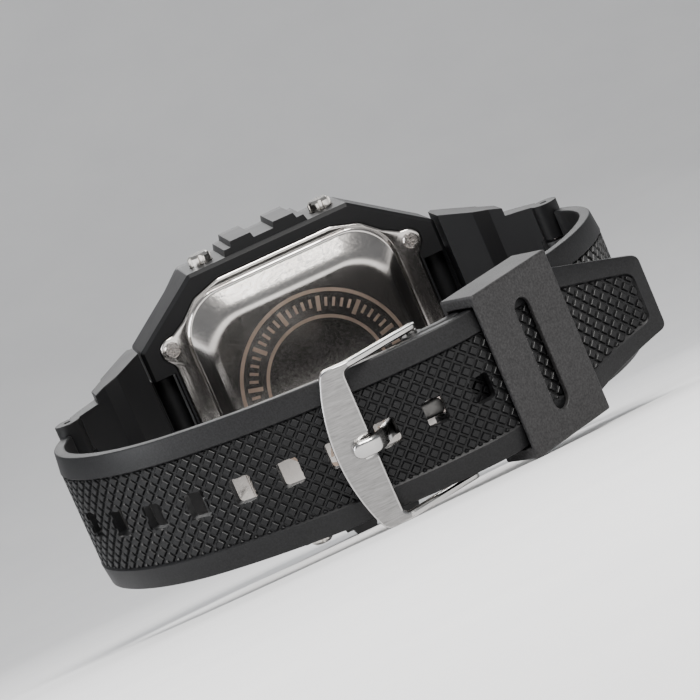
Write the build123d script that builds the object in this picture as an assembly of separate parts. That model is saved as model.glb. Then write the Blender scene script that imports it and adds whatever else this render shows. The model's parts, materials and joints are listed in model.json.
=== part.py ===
"""A digital wristwatch, buckled, lying on its side: resin case, steel back, rubber strap and buckle.

It is modelled upright in the watch's own frame and laid down at the end. There X runs from
6 o'clock to 12 o'clock, Y from the case back to the display, and Z from 9 o'clock to 3 o'clock.
The plane y = 0 is the outer face of the case back's flange. Lengths are in millimetres.
"""

import os
from math import atan2, cos, degrees, radians, sin

from build123d import *

os.makedirs("parts", exist_ok=True)

# General clearances
overrun = 2.0
running_clearance = 0.05
body_gap = 0.3
seat_gap = 0.1

# Strap
strap_half_width = 10.0
strap_thickness = 2.0
border_width = 3.0
panel_depth = 0.45
hole_pitch = 6.85
hole_count = 10
hole_length = 3.0
hole_width = 3.6
hole_corner = 0.5
first_hole_distance = 17.0
tail_curl_length = 6.0
tail_straight_length = 16.5
tail_end_length = 13.6
tail_narrowing = 4.1
tip_half_width = strap_half_width - tail_narrowing
taper_length = 17.8
tip_border = 2.6
strap_start_angle = 236.0
layer_gap = 0.3

# Module, built round a coin cell that lies off its middle
battery_radius = 10.0
battery_thickness = 1.6
battery_offset = -3.6
module_end_margin = 1.0
module_side_margin = 4.3
module_half_length = battery_radius - battery_offset + module_end_margin
module_half_width = battery_radius + module_side_margin
module_corner = 5.0
board_level = 3.0
board_thickness = 0.8
board_half_width = module_half_width + body_gap
clamp_thickness = 0.3
clamp_width = 7.0
chip_radius = 3.4
chip_height = 0.6
quartz_radius = 0.95
quartz_length = 6.0
quartz_inset = 2.1
quartz_x = module_half_length - quartz_inset
quartz_z = 6.5
coil_setback = 3.0
coil_place = battery_offset + battery_radius + coil_setback
coil_radius = 0.8
coil_wire_radius = 0.15
coil_turns = 5
buzzer_margin = 1.2
buzzer_radius = coil_place + buzzer_margin
buzzer_thickness = 0.35
contact_width = 1.6
contact_thickness = 0.2
contact_height = 3.4

# Display
lcd_end_margin = 2.2
lcd_side_margin = 4.9
lcd_half_length = module_half_length - lcd_end_margin
lcd_half_width = module_half_width - lcd_side_margin
lcd_thickness = 1.5
backlight_thickness = 0.6
zebra_width = 1.6
mask_thickness = 0.5

# Cavity, deep enough at its sides for the pushers' stems to travel
pusher_travel = 0.9
stem_tail = 0.25
clip_thickness = 0.25
pusher_stem_end = board_half_width + contact_thickness + body_gap + pusher_travel
cavity_end_gap = 0.8
cavity_half_length = module_half_length + cavity_end_gap
cavity_half_width = pusher_stem_end + stem_tail + clip_thickness + seat_gap
cavity_corner = 4.5

# Case
end_wall = 8.0
side_wall = 5.2
case_half_length = cavity_half_length + end_wall
case_half_width = cavity_half_width + side_wall
case_corner_length = 10.8
case_corner_width = 7.6
case_flat_half_length = case_half_length - case_corner_length
case_corner_half_width = case_half_width - case_corner_width
case_back_level = 0.2
case_front_level = 9.6
case_edge_round = 0.7
case_back_chamfer = 0.5
front_wall = 1.2
window_end_margin = 0.8
window_side_margin = 1.6
window_half_length = lcd_half_length + window_end_margin
window_half_width = lcd_half_width + window_side_margin
window_corner = 1.5

# Guard ribs on both flanks
rib_place = 3.4
rib_base = 4.6
rib_top = 3.2
rib_height = 1.8
rib_reach = case_half_width + rib_height
rib_step_height = 0.95
rib_step_margin = 1.1
rib_step_slope = 0.5
rib_back_level = 1.0

# Lugs and the spring bars between them
lug_inset = 0.4
lug_gap_half = strap_half_width - lug_inset
lug_depth = 3.55
lug_root = case_half_length - lug_depth
bar_radius = 0.75
bar_bore = 0.5
bar_setback = 1.8
bar_place = case_half_length - bar_setback
bar_level = 3.2
tip_radius = 0.45
tip_inside = 1.5
tip_outside = 1.3
tip_collar = 0.3

# Case back: a pressed steel plate with a raised centre over the cavity
back_thickness = 0.8
dome_height = 1.6
dome_half_length = cavity_half_length + back_thickness
dome_half_width = cavity_half_width + 2 * back_thickness
dome_corner = 6.5
dome_slope_length = 2.2
dome_slope_width = 3.6
flat_half_length = dome_half_length - dome_slope_length
flat_half_width = dome_half_width - dome_slope_width
flat_corner = 6.0
rim_length = 3.2
rim_width = 1.5
back_half_length = dome_half_length + rim_length
back_half_width = dome_half_width + rim_width
ear_inset = 0.4
ear_setback = 5.26
ear_place_x = back_half_length - ear_inset
ear_place_z = dome_half_width - ear_setback
ear_reach = 1.65
flange_corner_round = 1.1
screw_head_radius = 1.15
screw_head_height = 0.55
screw_shank_radius = 0.5
screw_length = 4.6
cross_width = 0.32
cross_depth = 0.3
gasket_width = 0.9
gasket_depth = 0.7
gasket_inset = 0.5

# Bezel and crystal
crystal_margin = 1.4
crystal_half_length = window_half_length + crystal_margin
crystal_half_width = window_half_width + crystal_margin
crystal_corner = 2.4
crystal_thickness = 1.4
crystal_gasket_thickness = 0.3
bezel_thickness = 2.8
bezel_setback = 1.8
bezel_half_length = case_half_length - bezel_setback
bezel_lip = 1.0
bezel_chamfer = 0.9
bezel_corner_round = 1.5
bezel_screw_end_margin = 2.4
bezel_screw_side_margin = 3.2
bezel_screw_x = crystal_half_length + bezel_screw_end_margin
bezel_screw_z = crystal_half_width + bezel_screw_side_margin
bezel_screw_length = 5.0

# Pushers, two on each flank
pusher_inset = 3.0
pusher_place = case_flat_half_length - pusher_inset
pusher_level = 5.2
pusher_well_depth = 2.5
pusher_well_floor = case_half_width - pusher_well_depth
pusher_head_radius = 1.75
pusher_head_rise = 1.55
pusher_head_reach = case_half_width + pusher_head_rise
pusher_head_length = 2.35
pusher_stem_radius = 0.7
flute_radius = 0.42
flute_count = 6
clip_radius = 1.3
clip_groove = 0.2
seal_place = (cavity_half_width + pusher_well_floor) / 2
seal_wire_radius = 0.16
seal_clearance = 0.01
spring_radius = 1.15
spring_wire_radius = 0.14
spring_turns = 4

# End links between the case and the strap
link_length = 19.8
link_angle = -37.0
link_knuckle_radius = 1.5
link_ear_reach = 1.4
link_waist_reach = 1.4
link_step_reach = 2.6
link_shoulder_reach = 4.8
link_ear_half_width = strap_half_width + link_ear_reach
link_waist_half_width = strap_half_width + link_waist_reach
link_step_half_width = strap_half_width + link_step_reach
link_half_width = strap_half_width + link_shoulder_reach
link_case_gap = 0.4
link_ear_width = 3.8
hinge_knuckle_radius = 1.9
hinge_half_gap = strap_half_width - link_ear_width
strap_knuckle_clearance = 0.4

# Keeper
keeper_length = 15.6
keeper_start = 2.5
keeper_travel_out = 1.5
keeper_travel_in = 0.4
keeper_wall = 0.8
keeper_side_wall = 1.55
keeper_half_width = strap_half_width + body_gap + keeper_side_wall
keeper_clearance = 0.25
keeper_window_margin = 1.95
keeper_window_length = 2 * (strap_half_width - keeper_window_margin)
keeper_window_width = 3.0
keeper_edge_round = 0.35

# Buckle
buckle_bar_setback = 8.6
buckle_side_gap = 0.45
buckle_arm_width = 0.9
buckle_half_width = strap_half_width + buckle_side_gap + buckle_arm_width
buckle_thickness = 1.4
buckle_eye_radius = 0.9
buckle_front_inner = 10.7
buckle_front_width = 2.9
buckle_front_outer = buckle_front_inner + buckle_front_width
buckle_bow = 2.4
buckle_lift = 0.5
buckle_outer_round = 1.5
buckle_inner_round = 0.9
tongue_width = 2.4
tongue_thickness = 1.1
tongue_eye_radius = 1.35
tongue_reach = 13.9
eye_wall_radius = 1.6

# Outlines as shares of the sizes that they follow, and the strap's turns in degrees
ear_shares = [
    ((1.0, -0.5), (1.0, 0.4), (0.4, 1.0), (-0.5, 1.1)),
    ((-0.2, -1.3), (-1.8, 0.1)),
]
ear_lead_share = 1.4
rim_lead_share = 4.4
buckle_side_shares = [(0, 0), (0.45, 0.49), (0.86, 0.93), (0.94, 0.985), (1, 1)]
tongue_step_shares = [-0.24, 0.23, 0.53]
tongue_rise_share = 0.85
link_step_share = 0.42
link_plate_shares = [
    (0.02, 0.215), (0.10, 0.225), (0.385, 0.195), (0.425, 0.160), (0.80, 0.105), (0.90, 0.075),
    (0.99, -0.060), (0.835, -0.048), (0.590, -0.046), (0.495, -0.112), (0.10, -0.112),
]
strap_turns = [51.5, 40.0, 19.0, 18.5]
tail_turns = [28.0, 0.0, -20.0]


def advance(pose, length, turn):
    """Pose (x, y, heading) at the end of an arc of this length and turn in degrees."""
    x, y, heading = pose
    start = radians(heading)
    if turn == 0:
        return (x + length * cos(start), y + length * sin(start), heading)
    end = radians(heading + turn)
    radius = length / radians(turn)
    return (x + radius * (sin(end) - sin(start)), y - radius * (cos(end) - cos(start)), heading + turn)


def pose_at(start, bends, distance):
    """Pose at a distance along a run of bends, each a (length, turn) pair."""
    pose = start
    left = distance
    for length, turn in bends:
        if left <= length:
            return advance(pose, left, turn * left / length)
        pose = advance(pose, length, turn)
        left -= length
    return advance(pose, left, 0)


def beside(pose, offset):
    """Point at an offset to the outer side of a pose, which is the right of its heading."""
    x, y, heading = pose
    return Vector(x + offset * sin(radians(heading)), y - offset * cos(radians(heading)))


def side_edges(start, bends, low, high, offset):
    """Edges of the line that runs beside a run of bends between two distances."""
    edges = []
    reached = 0
    for length, turn in bends:
        first = max(low, reached)
        last = min(high, reached + length)
        reached += length
        if last <= first:
            continue
        ends = [beside(pose_at(start, bends, s), offset) for s in (first, (first + last) / 2, last)]
        if turn == 0:
            edges.append(Line(ends[0], ends[2]))
        else:
            edges.append(ThreePointArc(*ends))
    return edges


def ribbon(start, bends, low, high, inner, outer):
    """Face between two offsets of a run of bends."""
    outside = side_edges(start, bends, low, high, outer)
    inside = side_edges(start, bends, low, high, inner)
    caps = [Line(outside[0] @ 0, inside[0] @ 0), Line(outside[-1] @ 1, inside[-1] @ 1)]
    return make_face(outside + inside + caps)


def biarc(start, end_point, end_heading):
    """Two bends that join a pose to a point, ending at a heading."""
    x, y, heading = start
    t0 = Vector(cos(radians(heading)), sin(radians(heading)))
    t1 = Vector(cos(radians(end_heading)), sin(radians(end_heading)))
    chord = Vector(end_point.X - x, end_point.Y - y)
    both = t0 + t1
    along = chord.dot(both)
    spare = 2 * (1 - t0.dot(t1))
    reach = (-along + (along ** 2 + spare * chord.dot(chord)) ** 0.5) / spare
    middle = (Vector(x, y) + t0 * reach + end_point - t1 * reach) * 0.5
    bends = []
    pose = start
    for target in (middle, end_point):
        step = target - Vector(pose[0], pose[1])
        turn = 2 * (degrees(atan2(step.Y, step.X)) - pose[2])
        turn = (turn + 360) % 720 - 360
        length = step.length * radians(turn) / (2 * sin(radians(turn) / 2))
        bends.append((length, turn))
        pose = advance(pose, length, turn)
    return bends


def slab(outline, back, front):
    """Extrude an outline drawn as (x, z) between two levels of y."""
    return Plane.XZ * Pos(0, 0, -front) * extrude(outline, front - back, dir=(0, 0, 1))


def four_way(points):
    """Closed polygon from the points of its first quadrant, listed from the X axis round to Z."""
    right = list(points)
    top = [(-x, z) for x, z in reversed(right)]
    half = right + [p for p in top if p not in right]
    below = [(-x, -z) for x, z in half]
    ring = half + [p for p in below if p not in half]
    return Polygon(*ring, align=None)


def rounded(half_x, half_z, corner):
    """Rounded rectangle by its half sizes."""
    return RectangleRounded(2 * half_x, 2 * half_z, corner)


def rod(radius, low, high, x=0, y=0):
    """Cylinder along Z between two heights."""
    return Pos(x, y, (low + high) / 2) * Cylinder(radius, high - low)


def post(radius, back, front, x=0, z=0):
    """Cylinder along Y between two levels."""
    return slab(Pos(x, z) * Circle(radius), back, front)


def strap_plane(pose):
    """Plane at a pose: X along the strap, Y across it and Z away from the wrist."""
    x, y, heading = pose
    run = (cos(radians(heading)), sin(radians(heading)), 0)
    outward = (sin(radians(heading)), -cos(radians(heading)), 0)
    return Plane(origin=(x, y, 0), x_dir=run, z_dir=outward)


def prism(pose, outline, low, high):
    """Extrude an outline drawn as (along, across) between two heights over a strap's centre line."""
    return strap_plane(pose) * Pos(0, 0, low) * extrude(outline, high - low, dir=(0, 0, 1))


def chain(points, thickness):
    """Flat outline of one thickness along a run of points, round at each point."""
    outline = Sketch()
    for first, last in zip(points, points[1:]):
        start = Vector(*first)
        run = Vector(*last) - start
        middle = start + run * 0.5
        turn = degrees(atan2(run.Y, run.X))
        outline += Pos(middle.X, middle.Y) * Rot(0, 0, turn) * SlotCenterToCenter(run.length, thickness)
    return outline


def coil(radius, wire_radius, height, turns):
    """Helical spring that stands on its lower end."""
    path = Helix(pitch=height / turns, height=height, radius=radius)
    section = Plane(origin=path @ 0, z_dir=path % 0) * Circle(wire_radius)
    return sweep(section, path=path, is_frenet=True)


def seen_from(side, part):
    """The part as it is on the 12 o'clock side (1), or turned round to the 6 o'clock side (-1)."""
    return part if side > 0 else Rot(0, 180, 0) * part


ends = {"12": 1, "6": -1}
parts = {}

# Levels of the stack, from the back to the display
seat_level = back_thickness
window_level = case_front_level - front_wall
bezel_front = case_front_level + bezel_thickness
crystal_level = case_front_level + crystal_gasket_thickness
board_front = board_level + board_thickness
lcd_front = window_level - mask_thickness - seat_gap
lcd_back = lcd_front - lcd_thickness
battery_front = board_level - seat_gap
battery_back = battery_front - battery_thickness
clamp_back = battery_back - clamp_thickness - seat_gap
buzzer_back = back_thickness - dome_height
screw_hole_radius = screw_shank_radius + running_clearance


def case_outline(half_length):
    """Outline of the case or bezel, with its corners cut back."""
    points = [
        (half_length, 0),
        (half_length, case_corner_half_width),
        (case_flat_half_length, case_half_width),
    ]
    return four_way(points)


def rib(side_x, side_z):
    """Outline of one guard rib with its half of the low step that both ribs stand on."""
    base = side_z * (case_half_width - case_edge_round)
    step = side_z * (case_half_width + rib_step_height)
    step_base = rib_place + rib_base / 2 + rib_step_margin
    step_top = step_base - rib_step_slope
    points = [
        (side_x * rib_place - rib_base / 2, base),
        (side_x * rib_place - rib_top / 2, side_z * rib_reach),
        (side_x * rib_place + rib_top / 2, side_z * rib_reach),
        (side_x * rib_place + rib_base / 2, base),
    ]
    low_step = Polygon((0, base), (0, step), (side_x * step_top, step), (side_x * step_base, base), align=None)
    return Polygon(*points, align=None) + low_step


def flange_outline(grow=0):
    """Outline of the case back with its four screw ears."""
    points = [(back_half_length, 0), (back_half_length, ear_place_z - ear_lead_share * ear_reach)]
    for (x, z), shares in zip(((ear_place_x, ear_place_z), (dome_half_length, dome_half_width)), ear_shares):
        points += [(x + along * ear_reach, z + across * ear_reach) for along, across in shares]
    points.append((dome_half_length - rim_lead_share * ear_reach, back_half_width))
    outline = four_way(points)
    outline = fillet(outline.vertices(), flange_corner_round)
    if grow:
        outline = offset(outline, grow)
    return outline


quarters = [(x, z) for x in (1, -1) for z in (1, -1)]
gasket_inner = tuple(size + gasket_inset for size in (cavity_half_length, cavity_half_width, cavity_corner))
gasket_outer = tuple(size + gasket_width for size in gasket_inner)


def gasket_ring(slack):
    """Outline of the back gasket, or of its groove."""
    hole = rounded(*[size - slack for size in gasket_inner])
    return rounded(*[size + slack for size in gasket_outer]) - hole


def make_case():
    """Resin case middle with lugs, guard ribs, pusher wells and screw holes."""
    outline = fillet(case_outline(case_half_length).vertices(), case_edge_round)
    body = slab(outline, case_back_level, case_front_level)
    body = chamfer(body.faces().sort_by(Axis.Y)[0].edges(), case_back_chamfer)
    for x, z in quarters:
        body += slab(rib(x, z), rib_back_level, case_front_level)
    body -= slab(flange_outline(seat_gap), case_back_level - overrun, seat_level)
    cavity = rounded(cavity_half_length, cavity_half_width, cavity_corner)
    window = rounded(window_half_length, window_half_width, window_corner)
    body -= slab(cavity, seat_level - overrun, window_level)
    body -= slab(window, seat_level, case_front_level + overrun)
    body -= slab(gasket_ring(running_clearance), seat_level - overrun, seat_level + gasket_depth)
    notch = case_half_length - lug_root + overrun
    for side in ends.values():
        place = side * (lug_root + notch / 2)
        body -= slab(Pos(place, 0) * Rectangle(notch, 2 * lug_gap_half), case_back_level - overrun,
                     case_front_level + overrun)
        hole = lug_gap_half + tip_outside + tip_collar
        body -= rod(tip_radius + running_clearance, -hole, hole, side * bar_place, bar_level)
        for up in (1, -1):
            x = side * pusher_place
            head = pusher_head_radius + seat_gap
            stem = pusher_stem_radius + running_clearance
            well = sorted((up * pusher_well_floor, up * (rib_reach + overrun)))
            bore = sorted((up * (cavity_half_width - overrun), up * (rib_reach + overrun)))
            body -= rod(head, *well, x, pusher_level)
            body -= rod(stem, *bore, x, pusher_level)
    hole_floor = bezel_front - bezel_lip - bezel_screw_length - seat_gap
    for x, z in quarters:
        back_place = (x * ear_place_x, z * ear_place_z)
        front_place = (x * bezel_screw_x, z * bezel_screw_z)
        body -= post(screw_hole_radius, seat_level - overrun, screw_length + seat_gap, *back_place)
        body -= post(screw_hole_radius, hole_floor, case_front_level + overrun, *front_place)
    return body


def make_case_back():
    """Pressed steel plate: a flange and a raised centre of even wall."""
    level = Plane.XZ
    outer = loft([level * rounded(dome_half_length, dome_half_width, dome_corner),
                  level * Pos(0, 0, dome_height) * rounded(flat_half_length, flat_half_width, flat_corner)])
    wall = back_thickness
    inside = loft([
        level * Pos(0, 0, -wall) * rounded(dome_half_length - wall, dome_half_width - wall, dome_corner - wall),
        level * Pos(0, 0, dome_height - wall) * rounded(flat_half_length - wall, flat_half_width - wall,
                                                       flat_corner - wall),
    ])
    plate = slab(flange_outline(), 0, back_thickness) + outer - inside
    for x, z in quarters:
        plate -= post(screw_hole_radius, -overrun, overrun, x * ear_place_x, z * ear_place_z)
    return plate


def screw(x, z, head_level, length, up):
    """Cross-head screw; up is 1 where its head faces the display and -1 where it faces the wrist."""
    top = head_level + up * screw_head_height
    head = post(screw_head_radius, *sorted((head_level, top)), x, z)
    rims = head.edges().filter_by(GeomType.CIRCLE).sort_by(Axis.Y)
    head = chamfer(rims[0 if up < 0 else -1], cross_depth / 2)
    shank = post(screw_shank_radius, *sorted((head_level, head_level - up * length)), x, z)
    cut = Pos(x, z) * (Rectangle(screw_head_radius, cross_width) + Rectangle(cross_width, screw_head_radius))
    return head + shank - slab(cut, *sorted((top - up * cross_depth, top + up * overrun)))


def fastened(level, length, up, place_x, place_z):
    """Four alike screws at the corners, as one group."""
    return Compound(children=[screw(x * place_x, z * place_z, level, length, up) for x, z in quarters])


def make_bezel():
    """Front cover, which holds the crystal down and has its own guard ribs."""
    outline = fillet(case_outline(bezel_half_length).vertices(), bezel_corner_round)
    body = slab(outline, case_front_level, bezel_front)
    body = chamfer(body.faces().sort_by(Axis.Y)[-1].edges(), bezel_chamfer)
    for x, z in quarters:
        body += slab(rib(x, z), case_front_level, bezel_front - bezel_chamfer)
    pocket = rounded(crystal_half_length + seat_gap, crystal_half_width + seat_gap, crystal_corner)
    body -= slab(pocket, case_front_level - overrun, crystal_level + crystal_thickness + running_clearance)
    lip = rounded(crystal_half_length - bezel_lip, crystal_half_width - bezel_lip, crystal_corner - bezel_lip)
    body -= slab(lip, case_front_level, bezel_front + overrun)
    for x, z in quarters:
        place = (x * bezel_screw_x, z * bezel_screw_z)
        body -= post(screw_hole_radius, case_front_level - overrun, bezel_front, *place)
        body -= post(screw_head_radius + seat_gap, bezel_front - bezel_lip, bezel_front + overrun, *place)
    return body


parts["case_middle"] = make_case()
parts["case_back"] = make_case_back()
parts["back_gasket"] = slab(gasket_ring(0), seat_level, seat_level + gasket_depth)
parts["back_screws"] = fastened(0, screw_length, -1, ear_place_x, ear_place_z)
parts["bezel"] = make_bezel()
parts["bezel_screws"] = fastened(bezel_front - bezel_lip, bezel_screw_length, 1, bezel_screw_x, bezel_screw_z)
parts["crystal"] = slab(rounded(crystal_half_length, crystal_half_width, crystal_corner), crystal_level,
                        crystal_level + crystal_thickness)
crystal_ring = rounded(crystal_half_length, crystal_half_width, crystal_corner)
crystal_ring -= rounded(window_half_length + seat_gap, window_half_width + seat_gap, window_corner)
parts["crystal_gasket"] = slab(crystal_ring, case_front_level, crystal_level)

# Module inside the case
module_outline = rounded(module_half_length, module_half_width, module_corner)
mask_outline = module_outline - rounded(lcd_half_length - bezel_lip, lcd_half_width - bezel_lip, window_corner)
parts["display_mask"] = slab(mask_outline, lcd_front, lcd_front + mask_thickness)
parts["lcd_panel"] = slab(Rectangle(2 * lcd_half_length, 2 * lcd_half_width), lcd_back, lcd_front)
backlight_half_width = lcd_half_width - zebra_width - 2 * seat_gap
parts["backlight_panel"] = slab(Rectangle(2 * lcd_half_length, 2 * backlight_half_width),
                                lcd_back - backlight_thickness, lcd_back)
zebra_z = lcd_half_width - zebra_width / 2
zebra = Rectangle(2 * lcd_half_length - zebra_width, zebra_width)
zebra_pair = [slab(Pos(0, z * zebra_z) * zebra, board_front, lcd_back) for z in (1, -1)]
parts["zebra_strips"] = Compound(children=zebra_pair)

frame_body = slab(module_outline, board_front, lcd_front)
frame_body -= slab(Rectangle(2 * (lcd_half_length + seat_gap), 2 * (lcd_half_width + seat_gap)),
                   lcd_back - backlight_thickness, lcd_front + overrun)
for z in (1, -1):
    slot = Rectangle(2 * lcd_half_length - zebra_width + 2 * seat_gap, zebra_width + 2 * seat_gap)
    frame_body -= slab(Pos(0, z * zebra_z) * slot, board_front - overrun, lcd_back)
frame_body -= post(chip_radius + seat_gap, board_front - overrun, board_front + chip_height + seat_gap)
parts["module_frame"] = frame_body

board_outline = rounded(module_half_length, board_half_width, module_corner)
parts["circuit_board"] = slab(board_outline, board_level, board_front)
parts["chip"] = post(chip_radius, board_front, board_front + chip_height)

holder = slab(module_outline, clamp_back + clamp_thickness, board_level)
holder -= post(battery_radius + seat_gap, clamp_back, board_level + overrun, battery_offset)
holder -= post(coil_radius + 2 * coil_wire_radius, clamp_back, board_level + overrun, coil_place)
quartz_room = quartz_radius + seat_gap
quartz_pocket = Pos(quartz_x, quartz_z) * Rectangle(2 * quartz_room, quartz_length + 2 * seat_gap)
holder -= slab(quartz_pocket, board_level - 2 * quartz_room, board_level + overrun)
parts["battery_holder"] = holder
parts["battery"] = post(battery_radius, battery_back, battery_front, battery_offset)
clamp = Rectangle(clamp_width, 2 * module_half_width) + Rectangle(2 * battery_radius, clamp_width)
parts["battery_clamp"] = slab(Pos(battery_offset, 0) * clamp, clamp_back, clamp_back + clamp_thickness)
parts["quartz_can"] = rod(quartz_radius, quartz_z - quartz_length / 2, quartz_z + quartz_length / 2,
                          quartz_x, board_level - quartz_radius)
parts["buzzer_disc"] = post(buzzer_radius, buzzer_back, buzzer_back + buzzer_thickness)
coil_height = board_level - buzzer_back - buzzer_thickness - 2 * coil_wire_radius
coil_back = buzzer_back + buzzer_thickness + coil_wire_radius
parts["buzzer_spring"] = (Pos(coil_place, coil_back, 0) * Rot(-90, 0, 0)
                          * coil(coil_radius, coil_wire_radius, coil_height, coil_turns))


def side_contact(x, z):
    """Sprung blade at the edge of the board, which a pusher touches."""
    middle = z * (board_half_width + contact_thickness / 2)
    blade = Pos(x * pusher_place, middle) * Rectangle(contact_width, contact_thickness)
    return slab(blade, board_level, board_level + contact_height)


parts["side_contacts"] = Compound(children=[side_contact(x, z) for x, z in quarters])


seal_middle = pusher_stem_radius + running_clearance - seal_clearance - seal_wire_radius


def make_pusher():
    """Fluted head and grooved stem along +Z, at the place of the upper 12 o'clock pusher."""
    head_base = pusher_head_reach - pusher_head_length
    body = rod(pusher_head_radius, head_base, pusher_head_reach)
    body = chamfer(body.edges().sort_by(Axis.Z)[-1], flute_radius)
    for number in range(flute_count):
        turn = radians(360 * number / flute_count - 90)
        reach = pusher_head_radius + flute_radius / 3
        body -= rod(flute_radius, head_base + flute_radius, pusher_head_reach + overrun,
                    reach * cos(turn), reach * sin(turn))
    body += rod(pusher_stem_radius, pusher_stem_end, head_base)
    groove_half = 2 * seal_wire_radius
    groove = rod(pusher_stem_radius + overrun, seal_place - groove_half, seal_place + groove_half)
    groove -= rod(seal_middle - seal_wire_radius - seal_clearance, seal_place - overrun, seal_place + overrun)
    body -= groove
    clip_high = cavity_half_width - seat_gap
    clip_low = clip_high - clip_thickness
    groove = rod(pusher_stem_radius + overrun, clip_low - running_clearance, clip_high + running_clearance)
    groove -= rod(pusher_stem_radius - clip_groove, clip_low - overrun, clip_low + overrun)
    return body - groove


def make_clip():
    """Open retaining clip in the groove at the stem's inner end."""
    low = cavity_half_width - seat_gap - clip_thickness
    bore = pusher_stem_radius - clip_groove + running_clearance
    ring = rod(clip_radius, low, low + clip_thickness) - rod(bore, low - overrun, low + overrun)
    mouth = Pos(0, clip_radius, low) * Box(2 * bore, 2 * clip_radius, overrun)
    return ring - mouth


def make_seal():
    """Rubber ring on the stem."""
    return Pos(0, 0, seal_place) * Torus(seal_middle, seal_wire_radius)


def make_pusher_spring():
    """Return spring between the head and the floor of its well."""
    low = pusher_well_floor + spring_wire_radius + running_clearance
    high = pusher_head_reach - pusher_head_length - spring_wire_radius - running_clearance
    return Pos(0, 0, low) * coil(spring_radius, spring_wire_radius, high - low, spring_turns)


pusher_rows = {"upper_12": (1, 1), "upper_6": (-1, 1), "lower_12": (1, -1), "lower_6": (-1, -1)}
for row, (x, up) in pusher_rows.items():
    place = Pos(x * pusher_place, pusher_level, 0) * (Rot(0, 0, 0) if up > 0 else Rot(180, 0, 180))
    parts["pusher_" + row] = place * make_pusher()
    parts["pusher_clip_" + row] = place * make_clip()
    parts["pusher_seal_" + row] = place * make_seal()
    parts["pusher_spring_" + row] = place * make_pusher_spring()

# End links, from the case's spring bars to the strap's
link_turn = radians(link_angle)
link_along = Vector(cos(link_turn), sin(link_turn))
link_across = Vector(-sin(link_turn), cos(link_turn))
bar_centre = Vector(bar_place, bar_level)
hinge_centre = bar_centre + link_along * link_length
link_face = case_half_length + link_case_gap


def link_point(along, across):
    """Point of a link's side view from its shares of the link's length."""
    return bar_centre + link_along * (along * link_length) + link_across * (across * link_length)


def make_link():
    """Rigid end link on the 12 o'clock side: a knuckle at the case, a broad plate and two ears."""
    far = hinge_centre.X + hinge_knuckle_radius + overrun
    plate = Polygon(*[tuple(link_point(*share))[:2] for share in link_plate_shares], align=None)
    plate += Pos(hinge_centre.X, hinge_centre.Y) * Circle(hinge_knuckle_radius)
    plate = extrude(plate, link_half_width, both=True)
    step_x = link_face + link_length * link_step_share
    taper_x = hinge_centre.X - hinge_knuckle_radius
    outline = four_way([
        (far, 0),
        (far, link_ear_half_width),
        (taper_x, link_ear_half_width),
        (step_x, link_waist_half_width),
        (step_x, link_step_half_width),
        (link_face, link_half_width),
    ])
    level = link_length
    plate &= slab(outline, -level, level)
    plate -= Pos(link_face - level / 2, 0, 0) * Box(level, 2 * level, 2 * level)
    knuckle_half = lug_gap_half - body_gap
    knuckle = rod(link_knuckle_radius, -knuckle_half, knuckle_half, bar_centre.X, bar_centre.Y)
    neck_reach = link_face + link_knuckle_radius - bar_centre.X
    neck = Pos(bar_centre.X + neck_reach / 2, bar_centre.Y + link_knuckle_radius / 3, 0)
    knuckle += neck * Box(neck_reach, link_knuckle_radius, 2 * knuckle_half)
    body = plate + knuckle
    body -= rod(bar_radius + running_clearance, -link_half_width, link_half_width, bar_centre.X, bar_centre.Y)
    body -= rod(hinge_knuckle_radius + strap_knuckle_clearance, -hinge_half_gap, hinge_half_gap,
                hinge_centre.X, hinge_centre.Y)
    body -= rod(tip_radius + running_clearance, -link_half_width, link_half_width, hinge_centre.X, hinge_centre.Y)
    return body


def bar_tube(centre, half_length):
    """Spring bar's tube."""
    tube = rod(bar_radius, -half_length, half_length, centre.X, centre.Y)
    return tube - rod(bar_bore, -half_length - overrun, half_length + overrun, centre.X, centre.Y)


def bar_tip(centre, half_length, up):
    """Spring bar's sliding tip, half inside the tube."""
    span = sorted((up * (half_length - tip_inside), up * (half_length + tip_outside)))
    return rod(tip_radius, *span, centre.X, centre.Y)


case_bar_half = lug_gap_half - seat_gap
hinge_bar_half = hinge_half_gap - seat_gap
link = make_link()
for end, side in ends.items():
    parts["end_link_" + end] = seen_from(side, link)
    for kind, centre, half in (("case", bar_centre, case_bar_half), ("hinge", hinge_centre, hinge_bar_half)):
        parts[f"{kind}_bar_{end}"] = seen_from(side, bar_tube(centre, half))
        for word, up in (("upper", 1), ("lower", -1)):
            parts[f"{kind}_bar_tip_{word}_{end}"] = seen_from(side, bar_tip(centre, half, side * up))

# The long strap's centre line, from its hinge on the 6 o'clock side round to its tip
row_length = 3 * hole_pitch
long_start = (-hinge_centre.X, hinge_centre.Y, strap_start_angle)
row_lengths = [first_hole_distance, row_length, row_length, row_length - tail_curl_length / 3]
long_bends = list(zip(row_lengths, strap_turns))
long_bends += list(zip([tail_curl_length, tail_straight_length, tail_end_length], tail_turns))
long_length = sum(length for length, turn in long_bends)
last_hole = first_hole_distance + (hole_count - 1) * hole_pitch
tongue_hole = last_hole - 2 * hole_pitch
half_thick = strap_thickness / 2


def long_pose(distance):
    """Pose on the long strap's centre line."""
    return pose_at(long_start, long_bends, distance)


def tail_side(up, half_start, half_end, reach):
    """What lies outside one tapered side of the tail, drawn as (along, across)."""
    far = strap_half_width + overrun
    points = [(-overrun, far), (-overrun, half_start), (0, half_start), (reach, half_end), (reach + far, half_end),
              (reach + far, far)]
    return Polygon(*[(along, up * across) for along, across in points], align=None)


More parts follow.
